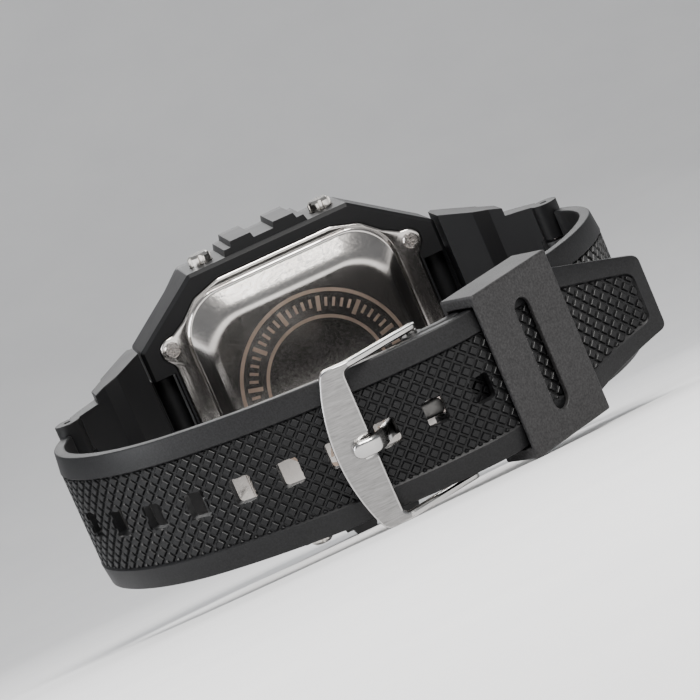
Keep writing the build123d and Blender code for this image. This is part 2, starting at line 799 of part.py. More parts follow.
def make_long_strap():
    """Long half of the strap, with its holes, its recessed panel and its tapered tail."""
    centre = long_start[:2]
    knuckle_half = hinge_half_gap - body_gap
    room = hinge_knuckle_radius + strap_knuckle_clearance
    side_view = ribbon(long_start, long_bends, 0, long_length, -half_thick, half_thick)
    body = extrude(side_view, strap_half_width, both=True)
    side_view = ribbon(long_start, long_bends, 2 * hinge_knuckle_radius, long_length - tip_border,
                       half_thick - panel_depth, half_thick + overrun)
    panel = extrude(side_view, strap_half_width - border_width, both=True)
    tail_pose = long_pose(long_length - taper_length)
    run = beside(long_pose(long_length), 0) - beside(tail_pose, 0)
    chord = (tail_pose[0], tail_pose[1], degrees(atan2(run.Y, run.X)))
    for up in (1, -1):
        side = tail_side(up, strap_half_width, tip_half_width, run.length)
        body -= prism(chord, side, -strap_half_width, strap_half_width)
        side = tail_side(up, strap_half_width - border_width, tip_half_width - border_width, run.length)
        panel -= prism(chord, side, -strap_half_width, strap_half_width)
        body -= rod(room, *sorted((up * knuckle_half, up * link_half_width)), *centre)
    body -= panel
    body += rod(hinge_knuckle_radius, -knuckle_half, knuckle_half, *centre)
    hole = RectangleRounded(hole_length, hole_width, hole_corner)
    for number in range(hole_count):
        body -= prism(long_pose(first_hole_distance + number * hole_pitch), hole, -strap_thickness, strap_thickness)
    return body - rod(bar_radius + running_clearance, -strap_half_width, strap_half_width, *centre)


parts["long_strap"] = make_long_strap()

# The short strap lies inside the long one from the buckle's bar to the keeper, then climbs to its hinge
layer_offset = strap_thickness + layer_gap
bar_distance = tongue_hole + buckle_bar_setback
bar_pose = long_pose(bar_distance)
stack_end = last_hole + keeper_start + keeper_length + keeper_travel_out + keeper_clearance


def inner_bends(low, high, depth):
    """Bends of the line at a depth inside the long strap's centre line, between two distances."""
    bends = []
    reached = 0
    for length, turn in long_bends:
        first = max(low, reached)
        last = min(high, reached + length)
        reached += length
        if last > first:
            bent = turn * (last - first) / length
            bends.append((last - first - depth * radians(bent), bent))
    return bends


short_point = beside(bar_pose, -layer_offset)
short_start = (short_point.X, short_point.Y, bar_pose[2])
short_bends = inner_bends(bar_distance, stack_end, layer_offset)
stack_length = sum(length for length, turn in short_bends)
climb_heading = 360 - strap_start_angle
short_bends += biarc(pose_at(short_start, short_bends, stack_length), hinge_centre, climb_heading)
short_length = sum(length for length, turn in short_bends)
bar_depth = half_thick + layer_gap + eye_wall_radius
buckle_centre = beside(bar_pose, -bar_depth)


def make_short_strap():
    """Short half of the strap, with an eye for the buckle's bar and a knuckle at its hinge."""
    eye = (buckle_centre.X, buckle_centre.Y)
    centre = (hinge_centre.X, hinge_centre.Y)
    knuckle_half = hinge_half_gap - body_gap
    room = hinge_knuckle_radius + strap_knuckle_clearance
    side_view = ribbon(short_start, short_bends, 0, short_length, -half_thick, half_thick)
    body = extrude(side_view, strap_half_width, both=True)
    for up in (1, -1):
        body -= rod(room, *sorted((up * knuckle_half, up * link_half_width)), *centre)
    body += rod(hinge_knuckle_radius, -knuckle_half, knuckle_half, *centre)
    body += rod(eye_wall_radius, -strap_half_width, strap_half_width, *eye)
    mouth = tongue_width / 2 + body_gap
    body -= rod(eye_wall_radius + body_gap, -mouth, mouth, *eye)
    body -= rod(bar_radius + running_clearance, -strap_half_width, strap_half_width, *eye)
    return body - rod(bar_radius + running_clearance, -strap_half_width, strap_half_width, *centre)


parts["short_strap"] = make_short_strap()

# Keeper round both straps
keeper_pose = long_pose(last_hole + keeper_start + keeper_length / 2)
keeper_room_out = half_thick + keeper_clearance
keeper_room_in = half_thick + layer_offset + keeper_clearance


def make_keeper():
    """Rigid loop round both straps, with a long window in its outer wall."""
    depth = keeper_room_out + keeper_room_in
    middle = Pos(0, 0, (keeper_room_out - keeper_room_in) / 2)
    body = middle * Box(keeper_length, 2 * keeper_half_width, depth + 2 * keeper_wall)
    body = fillet(body.edges(), keeper_edge_round)
    body -= middle * Box(keeper_length + overrun, 2 * (strap_half_width + body_gap), depth)
    window = Rot(0, 0, 90) * SlotOverall(keeper_window_length, keeper_window_width)
    body -= extrude(window, keeper_room_out + keeper_wall + overrun)
    return strap_plane(keeper_pose) * body


parts["keeper"] = make_keeper()

# Buckle: local X runs from the bar towards the front bar, local Y away from the wrist
buckle_middle = long_pose(bar_distance - buckle_front_inner / 2)
buckle_heading = (buckle_centre.X, buckle_centre.Y, buckle_middle[2] + 180)
strap_face = bar_depth + half_thick


def buckle_place(part):
    """Put a buckle piece, drawn with the bar at the origin, in the watch."""
    x, y, heading = buckle_heading
    frame = Plane(origin=(x, y, 0), x_dir=(cos(radians(heading)), sin(radians(heading)), 0), z_dir=(0, 0, 1))
    return frame * part


front_bar_height = strap_face + buckle_lift + buckle_thickness / 2


def make_buckle_frame():
    """Flat steel frame: two arms with eyes and a bowed front bar."""
    side_run = [(buckle_front_inner * along, front_bar_height * up) for along, up in buckle_side_shares]
    side_run.append((buckle_front_outer + buckle_bow, front_bar_height))
    side = chain(side_run, buckle_thickness) + Circle(buckle_eye_radius)
    body = extrude(side, buckle_half_width, both=True)
    reach = buckle_front_outer + buckle_bow
    bow = make_face([
        Line((-overrun, buckle_half_width), (buckle_front_outer, buckle_half_width)),
        ThreePointArc((buckle_front_outer, buckle_half_width), (reach, 0), (buckle_front_outer, -buckle_half_width)),
        Line((buckle_front_outer, -buckle_half_width), (-overrun, -buckle_half_width)),
        Line((-overrun, -buckle_half_width), (-overrun, buckle_half_width)),
    ])
    bow = fillet(bow.vertices().sort_by(Axis.X)[-2:], buckle_outer_round)
    inner_half = buckle_half_width - buckle_arm_width
    window = RectangleRounded(buckle_front_inner + 2 * overrun, 2 * inner_half, buckle_inner_round)
    window = Pos((buckle_front_inner - 2 * overrun) / 2, 0) * window
    plan = Rot(90, 0, 0) * extrude(bow - window, 2 * reach, both=True)
    body &= plan
    return body - rod(tip_radius + running_clearance, -buckle_half_width - overrun, buckle_half_width + overrun)


def make_buckle_bar():
    """Fixed pin of the buckle, thinner where it enters the arms."""
    inner_half = buckle_half_width - buckle_arm_width
    bar = rod(bar_radius, -inner_half + seat_gap, inner_half - seat_gap)
    return bar + rod(tip_radius, -buckle_half_width, buckle_half_width)


def make_tongue():
    """Bent tongue: an eye on the bar, a run under the strap, a step up through the hole and a tip."""
    run_height = bar_depth - half_thick - layer_gap - tongue_thickness / 2
    rest_height = front_bar_height + buckle_thickness / 2 + tongue_thickness / 2 + seat_gap
    low_step, high_step, top_step = [buckle_bar_setback + hole_length * share for share in tongue_step_shares]
    points = [
        (0, run_height),
        (low_step, run_height),
        (high_step, rest_height - tongue_thickness * tongue_rise_share),
        (top_step, rest_height),
        (tongue_reach - tongue_thickness / 2, rest_height),
    ]
    outline = chain(points, tongue_thickness) + Circle(tongue_eye_radius)
    body = extrude(outline, tongue_width / 2, both=True)
    return body - rod(bar_radius + running_clearance, -tongue_width, tongue_width)


parts["buckle_frame"] = buckle_place(make_buckle_frame())
parts["buckle_bar"] = buckle_place(make_buckle_bar())
parts["tongue"] = buckle_place(make_tongue())

# Lay the watch on its lower flank, so that the guard ribs and the buckle touch the ground together
reach_point = buckle_front_outer
front_low = Vector(buckle_heading[0], buckle_heading[1]) + Vector(
    cos(radians(buckle_heading[2])), sin(radians(buckle_heading[2]))) * reach_point
front_level = front_low.Y - front_bar_height - buckle_thickness / 2
lay_angle = degrees(atan2(rib_reach - buckle_half_width, rib_back_level - front_level))
laid = {node: Rot(lay_angle, 0, 0) * part for node, part in parts.items()}
box = Compound(children=[Compound(part.wrapped) for part in laid.values()]).bounding_box()
shift = Pos(-(box.min.X + box.max.X) / 2, -(box.min.Y + box.max.Y) / 2, -box.min.Z)
lay = shift * Rot(lay_angle, 0, 0)

for node, part in parts.items():
    export_step(lay * part, f"parts/{node}.step")
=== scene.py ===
"""Looks of a buckled digital wristwatch that lies on its side.

Shapes are worked out upright, in millimetres, with X from 6 o'clock to 12 o'clock, Y from the case back
to the display and Z from 9 o'clock to 3 o'clock. They are laid down with the frame at the end.
"""
import json
import math

import bmesh
import bpy
from mathutils import Matrix, Vector


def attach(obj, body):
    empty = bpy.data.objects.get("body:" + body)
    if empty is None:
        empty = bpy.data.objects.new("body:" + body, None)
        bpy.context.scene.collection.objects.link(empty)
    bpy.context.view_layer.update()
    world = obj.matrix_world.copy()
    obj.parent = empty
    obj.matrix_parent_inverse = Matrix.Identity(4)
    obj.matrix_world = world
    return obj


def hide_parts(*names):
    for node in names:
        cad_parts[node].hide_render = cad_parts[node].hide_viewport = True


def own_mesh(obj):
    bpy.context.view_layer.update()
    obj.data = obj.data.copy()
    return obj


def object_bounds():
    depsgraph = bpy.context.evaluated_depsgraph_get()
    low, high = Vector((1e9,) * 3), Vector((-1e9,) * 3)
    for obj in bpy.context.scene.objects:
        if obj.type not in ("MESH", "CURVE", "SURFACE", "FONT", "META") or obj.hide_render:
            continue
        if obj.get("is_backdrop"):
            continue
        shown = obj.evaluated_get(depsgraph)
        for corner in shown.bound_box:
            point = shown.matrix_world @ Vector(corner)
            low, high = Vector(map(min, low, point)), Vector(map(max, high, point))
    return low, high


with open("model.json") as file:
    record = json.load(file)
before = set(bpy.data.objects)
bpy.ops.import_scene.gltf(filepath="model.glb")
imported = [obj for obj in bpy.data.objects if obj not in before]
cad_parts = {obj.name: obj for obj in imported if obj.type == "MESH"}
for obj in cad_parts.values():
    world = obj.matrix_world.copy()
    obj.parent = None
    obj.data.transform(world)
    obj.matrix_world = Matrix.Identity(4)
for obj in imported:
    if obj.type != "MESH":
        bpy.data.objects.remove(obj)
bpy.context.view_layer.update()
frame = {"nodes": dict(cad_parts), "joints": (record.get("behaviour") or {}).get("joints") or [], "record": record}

# Where the watch lies, read from its hinges
bar_place = 21.6
bar_level = 3.2
joints = {joint["name"]: joint for joint in frame["joints"]}
axis = joints["link_12_hinge"]["axis"]
upright = Matrix.Rotation(math.atan2(-axis[1], axis[2]), 4, "X")
shift = Vector(joints["link_12_hinge"]["pos_m"]) - upright @ Vector((bar_place, bar_level, 0)) / 1000
laid = Matrix.Translation(shift) @ upright @ Matrix.Scale(0.001, 4)

# Strap, in millimetres and degrees. It follows its solids, but for its tail
link_length = 19.8
link_angle = -37.0
hinge_x = bar_place + link_length * math.cos(math.radians(link_angle))
hinge_y = bar_level + link_length * math.sin(math.radians(link_angle))
strap_start_angle = 236.0
half_width = 10.0
half_thick = 1.0
layer_gap = 0.3
border = 3.0
end_border = 2.6
panel_depth = 0.42
hole_pitch = 6.85
hole_count = 10
hole_length = 3.0
hole_width = 3.6
hole_corner = 0.5
first_bend = 17.0
bend_run = 3 * hole_pitch
tail_bend = 6.0
long_start = (-hinge_x, hinge_y, strap_start_angle)
long_bends = [(first_bend, 51.5), (bend_run, 40.0), (bend_run, 19.0), (bend_run - tail_bend / 3, 18.5),
              (tail_bend, 28.0), (16.5, 0.0), (13.1, -20.0)]
long_length = sum(length for length, turn in long_bends)
last_hole = first_bend + (hole_count - 1) * hole_pitch
tongue_hole = last_hole - 2 * hole_pitch
setback = 8.6
bar_distance = tongue_hole + setback
keeper_start = 2.5
keeper_length = 15.6
keeper_travel_out = 1.5
keeper_clearance = 0.25
wall_run = 0.38
facet_drop = 0.35
strap_edge = 0.25
strap_inner_edge = 0.30
station_step = 0.55
knuckle_radius = 1.9
knuckle_half = 5.9
knuckle_gap = 0.45
knuckle_reach = 0.6
pin_radius = 0.8
short_begin = 0.9

# Tail of the long strap, with a narrow tip, round corners and a drift to one side
tip_half_width = 5.4
taper_length = 17.6
tip_crest = 2.0
tip_narrower = 0.75
tip_corner = 0.9
panel_corner = 1.2
sway_start = last_hole + 6.5
sway = 1.25

# Raised squares of the strap's pattern
pad_pitch = 1.42
pad_gap = 0.27
pad_inset = 0.13
pad_drop = 0.08
pad_crown = 0.05
pad_root = 0.06


def advance(pose, length, turn):
    """Pose (x, y, heading) at the end of an arc of this length and turn in degrees."""
    x, y, heading = pose
    start = math.radians(heading)
    if turn == 0:
        return (x + length * math.cos(start), y + length * math.sin(start), heading)
    end = math.radians(heading + turn)
    radius = length / math.radians(turn)
    return (x + radius * (math.sin(end) - math.sin(start)), y - radius * (math.cos(end) - math.cos(start)),
            heading + turn)


def pose_at(start, bends, distance):
    """Pose at a distance along a run of bends."""
    pose = start
    left = distance
    for length, turn in bends:
        if left <= length:
            return advance(pose, left, turn * left / length)
        pose = advance(pose, length, turn)
        left -= length
    return advance(pose, left, 0)


def on_strap(start, bends, s, w, h):
    """Point at a distance along a strap, across it, and out from its middle layer."""
    x, y, heading = pose_at(start, bends, s)
    a = math.radians(heading)
    return Vector((x + h * math.sin(a), y - h * math.cos(a), w))


def inner_bends(low, high, depth):
    """Bends of the line at a depth inside the long strap's, between two distances."""
    bends = []
    reached = 0
    for length, turn in long_bends:
        first = max(low, reached)
        last = min(high, reached + length)
        reached += length
        if last > first:
            bent = turn * (last - first) / length
            bends.append((last - first - depth * math.radians(bent), bent))
    return bends


def biarc(start, end_point, end_heading):
    """Two bends that join a pose to a point, ending at a heading."""
    x, y, heading = start
    t0 = Vector((math.cos(math.radians(heading)), math.sin(math.radians(heading))))
    t1 = Vector((math.cos(math.radians(end_heading)), math.sin(math.radians(end_heading))))
    origin = Vector((x, y))
    chord = end_point - origin
    along = chord.dot(t0 + t1)
    spare = 2 * (1 - t0.dot(t1))
    reach = (-along + math.sqrt(along ** 2 + spare * chord.dot(chord))) / spare
    middle = (origin + t0 * reach + end_point - t1 * reach) * 0.5
    bends = []
    pose = start
    for target in (middle, end_point):
        step = target - Vector((pose[0], pose[1]))
        turn = 2 * (math.degrees(math.atan2(step.y, step.x)) - pose[2])
        turn = (turn + 360) % 720 - 360
        length = step.length * math.radians(turn) / (2 * math.sin(math.radians(turn) / 2))
        bends.append((length, turn))
        pose = advance(pose, length, turn)
    return bends


# Short strap: under the long one as far as the keeper, then two bends to its own hinge
layer = 2 * half_thick + layer_gap
bar_pose = pose_at(long_start, long_bends, bar_distance)
stack_end = last_hole + keeper_start + keeper_length + keeper_travel_out + keeper_clearance
short_start_point = on_strap(long_start, long_bends, bar_distance, 0, -layer)
short_start = (short_start_point.x, short_start_point.y, bar_pose[2])
short_bends = inner_bends(bar_distance, stack_end, layer)
stack_length = sum(length for length, turn in short_bends)
stack_pose = pose_at(short_start, short_bends, stack_length)
short_bends += biarc(stack_pose, Vector((hinge_x, hinge_y)), 360 - strap_start_angle)
short_length = sum(length for length, turn in short_bends)


# Materials
def nodes_of(name):
    """New material with its nodes, its links and its main shader."""
    material = bpy.data.materials.new(name)
    material.use_nodes = True
    tree = material.node_tree
    return material, tree, tree.nodes["Principled BSDF"]


def noise_of(tree, scale, detail=4.0, stretch=(1, 1, 1), turn=0.0, rough=0.55):
    """Noise fixed to the object, in its own place at rest. Scale is per metre."""
    place = tree.nodes.new("ShaderNodeTexCoord")
    mapping = tree.nodes.new("ShaderNodeMapping")
    mapping.inputs["Scale"].default_value = stretch
    mapping.inputs["Rotation"].default_value = (0, 0, math.radians(turn))
    noise = tree.nodes.new("ShaderNodeTexNoise")
    noise.inputs["Scale"].default_value = scale
    noise.inputs["Detail"].default_value = detail
    noise.inputs["Roughness"].default_value = rough
    tree.links.new(place.outputs["Object"], mapping.inputs["Vector"])
    tree.links.new(mapping.outputs["Vector"], noise.inputs["Vector"])
    return noise.outputs["Fac"]


def ramp_of(tree, value, low, high, first, last):
    """Colour ramp between two colours over a part of a value's range."""
    ramp = tree.nodes.new("ShaderNodeValToRGB")
    ramp.color_ramp.elements[0].position = low
    ramp.color_ramp.elements[1].position = high
    ramp.color_ramp.elements[0].color = (*first, 1)
    ramp.color_ramp.elements[1].color = (*last, 1)
    tree.links.new(value, ramp.inputs["Fac"])
    return ramp.outputs["Color"]


def bump_of(tree, value, distance, strength, under=None):
    """Bump from a value, over another bump if one is given."""
    bump = tree.nodes.new("ShaderNodeBump")
    bump.inputs["Distance"].default_value = distance
    bump.inputs["Strength"].default_value = strength
    tree.links.new(value, bump.inputs["Height"])
    if under is not None:
        tree.links.new(under, bump.inputs["Normal"])
    return bump.outputs["Normal"]


def shades(colour, spread, darkest=None):
    """Darker and lighter colour about a colour, or from a darkest one of its own."""
    dark = tuple(c * (1 - spread) for c in (darkest or colour))
    light = tuple(min(1.0, c * (1 + spread)) for c in colour)
    return dark, light


def moulded(name, colour, spread, rough, grain=9000.0, bump=0.25, specular=0.5, coat=0.0, speckled=False):
    """Moulded rubber or plastic: fine grain, uneven gloss and a slight change of colour."""
    material, tree, shader = nodes_of(name)
    shader.inputs["Specular IOR Level"].default_value = specular
    shader.inputs["Coat Weight"].default_value = coat
    shader.inputs["Coat Roughness"].default_value = 0.25
    broad = noise_of(tree, 140.0, 5.0)
    fine = noise_of(tree, grain, 3.0)
    patches = fine if speckled else broad
    tree.links.new(ramp_of(tree, patches, 0.35, 0.7, *shades(colour, spread)), shader.inputs["Base Color"])
    gloss = ramp_of(tree, broad, 0.3, 0.75, (rough - 0.03,) * 3, (rough + 0.04,) * 3)
    tree.links.new(gloss, shader.inputs["Roughness"])
    skin = bump_of(tree, fine, 0.00003, bump)
    waves = noise_of(tree, 900.0, 3.0)
    tree.links.new(bump_of(tree, waves, 0.00005, bump * 0.35, skin), shader.inputs["Normal"])
    return material


def steel(name, colour, rough, brush=None, turn=0.0, bump=0.12, spread=0.06, tint=None):
    """Bare metal. A brush is the stretch of its scratches along each axis."""
    material, tree, shader = nodes_of(name)
    shader.inputs["Metallic"].default_value = 1.0
    if brush is None:
        broad = noise_of(tree, 90.0, 4.0)
        wear = noise_of(tree, 2600.0, 6.0)
        gloss = ramp_of(tree, wear, 0.35, 0.8, (rough * 0.8,) * 3, (rough * 1.35,) * 3)
        marks = bump_of(tree, wear, 0.00001, bump)
    else:
        broad = noise_of(tree, 1.0, 6.0, brush, turn, 0.7)
        gloss = ramp_of(tree, broad, 0.3, 0.7, (rough * 0.75,) * 3, (rough * 1.3,) * 3)
        marks = bump_of(tree, broad, 0.00002, bump)
    tree.links.new(ramp_of(tree, broad, 0.3, 0.7, *shades(colour, spread, tint)), shader.inputs["Base Color"])
    tree.links.new(gloss, shader.inputs["Roughness"])
    tree.links.new(marks, shader.inputs["Normal"])
    return material


def glass(name):
    """Clear crystal."""
    material, tree, shader = nodes_of(name)
    shader.inputs["Base Color"].default_value = (0.96, 0.98, 0.98, 1)
    shader.inputs["Transmission Weight"].default_value = 1.0
    shader.inputs["IOR"].default_value = 1.46
    haze = noise_of(tree, 300.0, 3.0)
    tree.links.new(ramp_of(tree, haze, 0.4, 0.9, (0.0,) * 3, (0.05,) * 3), shader.inputs["Roughness"])
    return material


# Rubber and resin
rubber = moulded("strap_rubber", (0.0066, 0.0066, 0.0071), 0.55, 0.47, 4500.0, 0.60, 0.26, speckled=True)
rubber_pads = moulded("strap_pads", (0.0036, 0.0036, 0.0040), 0.25, 0.38, 6000.0, 0.30, 0.26)
rubber_loop = moulded("keeper_rubber", (0.0175, 0.0168, 0.0172), 0.60, 0.52, 3400.0, 1.0, 0.34, speckled=True)
resin = moulded("case_resin", (0.0036, 0.0036, 0.0040), 0.12, 0.42, 9000.0, 0.24, 0.24)
bezel_resin = moulded("bezel_resin", (0.0040, 0.0040, 0.0044), 0.10, 0.34, 12000.0, 0.14, 0.28)
soft_seal = moulded("soft_seal", (0.020, 0.020, 0.020), 0.15, 0.60)

# Metal
back_steel = steel("back_steel", (0.60, 0.575, 0.55), 0.17, tint=(0.51, 0.48, 0.455), bump=0.02)
etched = steel("etched_ring", (0.42, 0.33, 0.27), 0.42, tint=(0.34, 0.26, 0.21), bump=0.3)
screw_steel = steel("screw_steel", (0.58, 0.54, 0.51), 0.26, bump=0.15)
# Darker than the other steel: painted shade for the bars and the tongue's eye in the shadow under the strap
bar_steel = steel("bar_steel", (0.40, 0.35, 0.33), 0.26, bump=0.12)
button_steel = steel("button_steel", (0.78, 0.75, 0.71), 0.15, tint=(0.66, 0.62, 0.56), bump=0.08)
brushed = steel("buckle_brushed", (0.27, 0.265, 0.26), 0.34, (300, 5000, 5000), -25.0, 0.6, 0.30)
bright = steel("buckle_bright", (0.52, 0.51, 0.50), 0.20, bump=0.08)
# Dark steel for the tongue's run under the strap: painted shade, not a finish of the steel
painted_shade_steel = steel("buckle_painted_shade", (0.12, 0.117, 0.113), 0.40, bump=0.25)
spring_steel = steel("spring_steel", (0.62, 0.62, 0.61), 0.28)
brass = steel("brass", (0.78, 0.60, 0.28), 0.27, tint=(0.68, 0.50, 0.22))
can_steel = steel("cell_can", (0.74, 0.74, 0.73), 0.22, (7000, 900, 7000), 0.0, 0.1)

# Inner pieces, display and print
board_green = moulded("board_green", (0.02, 0.14, 0.06), 0.25, 0.32, 4000.0, 0.2, coat=0.5)
epoxy = moulded("epoxy", (0.012, 0.012, 0.012), 0.2, 0.30, 5000.0, 0.1, coat=0.4)
natural = moulded("natural_plastic", (0.62, 0.60, 0.53), 0.06, 0.45)
silicone = moulded("silicone", (0.45, 0.33, 0.33), 0.10, 0.55)
film = moulded("backlight_film", (0.55, 0.70, 0.52), 0.06, 0.40)
print_black = moulded("mask_print", (0.010, 0.010, 0.012), 0.15, 0.28, 12000.0, 0.05)
display = moulded("display", (0.33, 0.37, 0.29), 0.05, 0.25, 12000.0, 0.03, coat=0.6)
print_line = moulded("print_line", (0.18, 0.22, 0.26), 0.08, 0.34, 12000.0, 0.05)
segment = moulded("segment", (0.018, 0.022, 0.024), 0.10, 0.30, 12000.0, 0.03)
clear = glass("crystal_glass")

looks = {
    "case_resin": resin, "back_plate": back_steel, "screw_steel": screw_steel, "seal_rubber": soft_seal,
    "crystal": clear, "mask": print_black, "display": display, "backlight": film,
    "connector_rubber": silicone, "module_plastic": natural, "board": board_green, "epoxy": epoxy,
    "battery_can": can_steel, "spring_steel": spring_steel, "brass": brass, "pusher_steel": button_steel,
    "bar_steel": bar_steel, "strap_rubber": rubber, "buckle_steel": bright,
}
for entry in frame["record"]["subparts"]:
    node = frame["nodes"][entry["node"]]
    node.data.materials.clear()
    node.data.materials.append(looks[entry["material_slot"]])
frame["nodes"]["bezel"].data.materials[0] = bezel_resin
frame["nodes"]["keeper"].data.materials[0] = rubber_loop


# Mesh tools
def laid_down(name, bm):
    """Object from a mesh in upright millimetres, laid down with the watch."""
    bmesh.ops.recalc_face_normals(bm, faces=bm.faces)
    mesh = bpy.data.meshes.new(name)
    bm.to_mesh(mesh)
    bm.free()
    mesh.transform(laid)
    shape = bpy.data.objects.new(name, mesh)
    bpy.context.scene.collection.objects.link(shape)
    return shape


def piece(name, bm, material, body, replaced=(), smooth=30.0):
    """Piece of the watch from a mesh, with its material, on its body."""
    shape = laid_down(name, bm)
    shape.data.materials.append(material)
    shape.data.shade_smooth()
    shape.data.set_sharp_from_angle(angle=math.radians(smooth))
    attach(shape, body)
    if replaced:
        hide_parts(*replaced)
    return shape


def cut(shape, cutter_bm):
    """Cut a closed mesh out of a piece."""
    tool = laid_down("cutter", cutter_bm)
    boolean = shape.modifiers.new("cut", "BOOLEAN")
    boolean.operation = "DIFFERENCE"
    boolean.solver = "EXACT"
    boolean.object = tool
    graph = bpy.context.evaluated_depsgraph_get()
    made = bpy.data.meshes.new_from_object(shape.evaluated_get(graph))
    shape.modifiers.clear()
    shape.data = made
    bpy.data.objects.remove(tool)
    made.shade_smooth()
    made.set_sharp_from_angle(angle=math.radians(30))


def soften(shape, width):
    """Round a solid's hard edges, in millimetres, and keep its flat faces flat."""
    weld = shape.modifiers.new("weld", "WELD")
    weld.merge_threshold = 0.000002
    flat = shape.modifiers.new("flat", "DECIMATE")
    flat.decimate_type = "DISSOLVE"
    flat.angle_limit = math.radians(0.6)
    bevel = shape.modifiers.new("bevel", "BEVEL")
    bevel.width = width / 1000
    bevel.segments = 2
    bevel.limit_method = "ANGLE"
    bevel.angle_limit = math.radians(30)
    bevel.use_clamp_overlap = True
    even = shape.modifiers.new("even", "WEIGHTED_NORMAL")
    even.keep_sharp = False
    even.weight = 80


def rows_of(bm, rings):
    """Rows of new vertices at rings of points."""
    return [[bm.verts.new(p) for p in ring] for ring in rings]


def bridge(bm, rows):
    """Quads between neighbouring closed rows of vertices."""
    for first, last in zip(rows, rows[1:]):
        for i in range(len(first)):
            j = (i + 1) % len(first)
            bm.faces.new((first[i], first[j], last[j], last[i]))


def loft(bm, rings):
    """Solid through rings of points, with a cap on its first and its last."""
    rows = rows_of(bm, rings)
    bridge(bm, rows)
    bm.faces.new(rows[0])
    bm.faces.new(list(reversed(rows[-1])))


def hoop(bm, rings):
    """Solid through rings of points, the last of which joins the first."""
    rows = rows_of(bm, rings)
    bridge(bm, rows + rows[:1])


def barrel(bm, x, y, levels, heading=0.0):
    """Hollow barrel along Z. Its levels (z, radius) begin and end at its bore."""
    turns = [math.radians(heading + 7.5 * i) for i in range(48)]
    hoop(bm, [[Vector((x + r * math.cos(a), y + r * math.sin(a), z)) for a in turns] for z, r in levels])


def arc_points(x, y, radius, first, last, count):
    """Points on an arc, by its centre, its radius and two angles in degrees."""
    turns = [math.radians(first + (last - first) * i / count) for i in range(count + 1)]
    return [(x + radius * math.cos(t), y + radius * math.sin(t)) for t in turns]


def rounded_outline(half_x, half_y, corner, count=6):
    """Rounded rectangle about the origin, anticlockwise."""
    points = []
    for sx, sy, first in ((1, 1, 0), (-1, 1, 90), (-1, -1, 180), (1, -1, 270)):
        points += arc_points(sx * (half_x - corner), sy * (half_y - corner), corner, first, first + 90, count)
    return points


def corner_inset(left, radius):
    """How far a rounded corner has drawn in at this distance from its end."""
    if left >= radius:
        return 0.0
    return radius - math.sqrt(max(0.0, radius ** 2 - (radius - max(0.0, left)) ** 2))


# Strap halves
def section(width, top, bottom, crest, crest_level, rim, floor, floor_level, edge, inner_edge):
    """Points (across, out) round a strap's section: panel, wall, rim, crest, facet, edges and back."""
    top = min(top, crest_level)
    right = [(0.0, floor_level), (floor * 0.5, floor_level), (floor, floor_level), (rim, crest_level),
             (crest, crest_level)]
    start = width - edge
    right += [(crest + (start - crest) * 0.5, crest_level + (top - crest_level) * 0.5)]
    right += arc_points(start, top - edge, edge, 80, 0, 4)
    right += arc_points(width - inner_edge, bottom + inner_edge, inner_edge, 0, -90, 3)
    right += [(width * 0.5, bottom), (0.0, bottom)]
    left = [(-x, y) for x, y in reversed(right[1:-1])]
    return right + left


def tail_width(s):
    """Half width of the long strap at a distance."""
    left = long_length - s
    width = min(half_width, tip_half_width + (half_width - tip_half_width) * left / taper_length)
    return width - corner_inset(left, tip_corner)


def tail_sway(s):
    """Sideways drift of the long strap's tail, which has some play in the keeper."""
    return sway * max(0.0, (s - sway_start) / (long_length - sway_start)) ** 1.5


def tail_border(s):
    """Width of the long strap's border, which narrows a little along the tail."""
    return border - tip_narrower * max(0.0, 1 - (long_length - s) / taper_length)


def strap_stations(low, high, panel_low, panel_high, mitre):
    """Distances at which a strap half has a section."""
    stations = {low, high, panel_low, panel_low + wall_run, panel_high, panel_high - wall_run}
    if mitre:
        stations.add(high - taper_length)
        for i in range(1, 7):
            share = 1 - math.cos(math.radians(15 * i))
            stations.add(high - strap_edge - (tip_corner - strap_edge) * share)
            stations.add(panel_high - panel_corner * share)
    count = int((high - low) / station_step)
    for i in range(1, count):
        s = low + (high - low) * i / count
        if min(abs(s - known) for known in stations) > 0.2:
            stations.add(s)
    for i in range(1, 5):
        reach = strap_edge * (1 - math.cos(math.radians(22.5 * i)))
        stations.add(low + reach)
        stations.add(high - reach)
    return sorted(stations)


def strap_body(start, bends, low, high, panel_low, mitre=False):
    """Mesh of a strap half without its knuckle. A mitred one ends in the long strap's tail."""
    hair = 0.02
    panel_high = high - (tip_crest if mitre else end_border)
    rings = []
    for s in strap_stations(low, high, panel_low, panel_high, mitre):
        inset = max(corner_inset(s - low, strap_edge), corner_inset(high - s, strap_edge))
        depth = panel_depth * max(0.0, min(1.0, (s - panel_low) / wall_run, (panel_high - s) / wall_run))
        level = half_thick - depth
        width = tail_width(s) if mitre else half_width
        reach = tail_border(s) if mitre else border
        drift = tail_sway(s) if mitre else 0.0
        crest_level = half_thick
        if mitre and s > panel_high:
            reach = reach * (high - s) / tip_crest
            level = half_thick - facet_drop * (s - panel_high) / tip_crest
            crest_level = level
        crest = min(width - reach, width - inset - strap_edge - 3 * hair)
        rim = crest - hair
        if mitre and s <= panel_high:
            rim -= corner_inset(panel_high - s, panel_corner)
        floor = rim - max(hair, wall_run * depth / panel_depth)
        ring = section(width - inset, half_thick - facet_drop - inset, inset - half_thick, crest,
                       crest_level - inset, rim, floor, level - inset, strap_edge, strap_inner_edge)
        rings.append([on_strap(start, bends, s, w - drift, h) for w, h in ring])
    bm = bmesh.new()
    loft(bm, rings)
    return bm


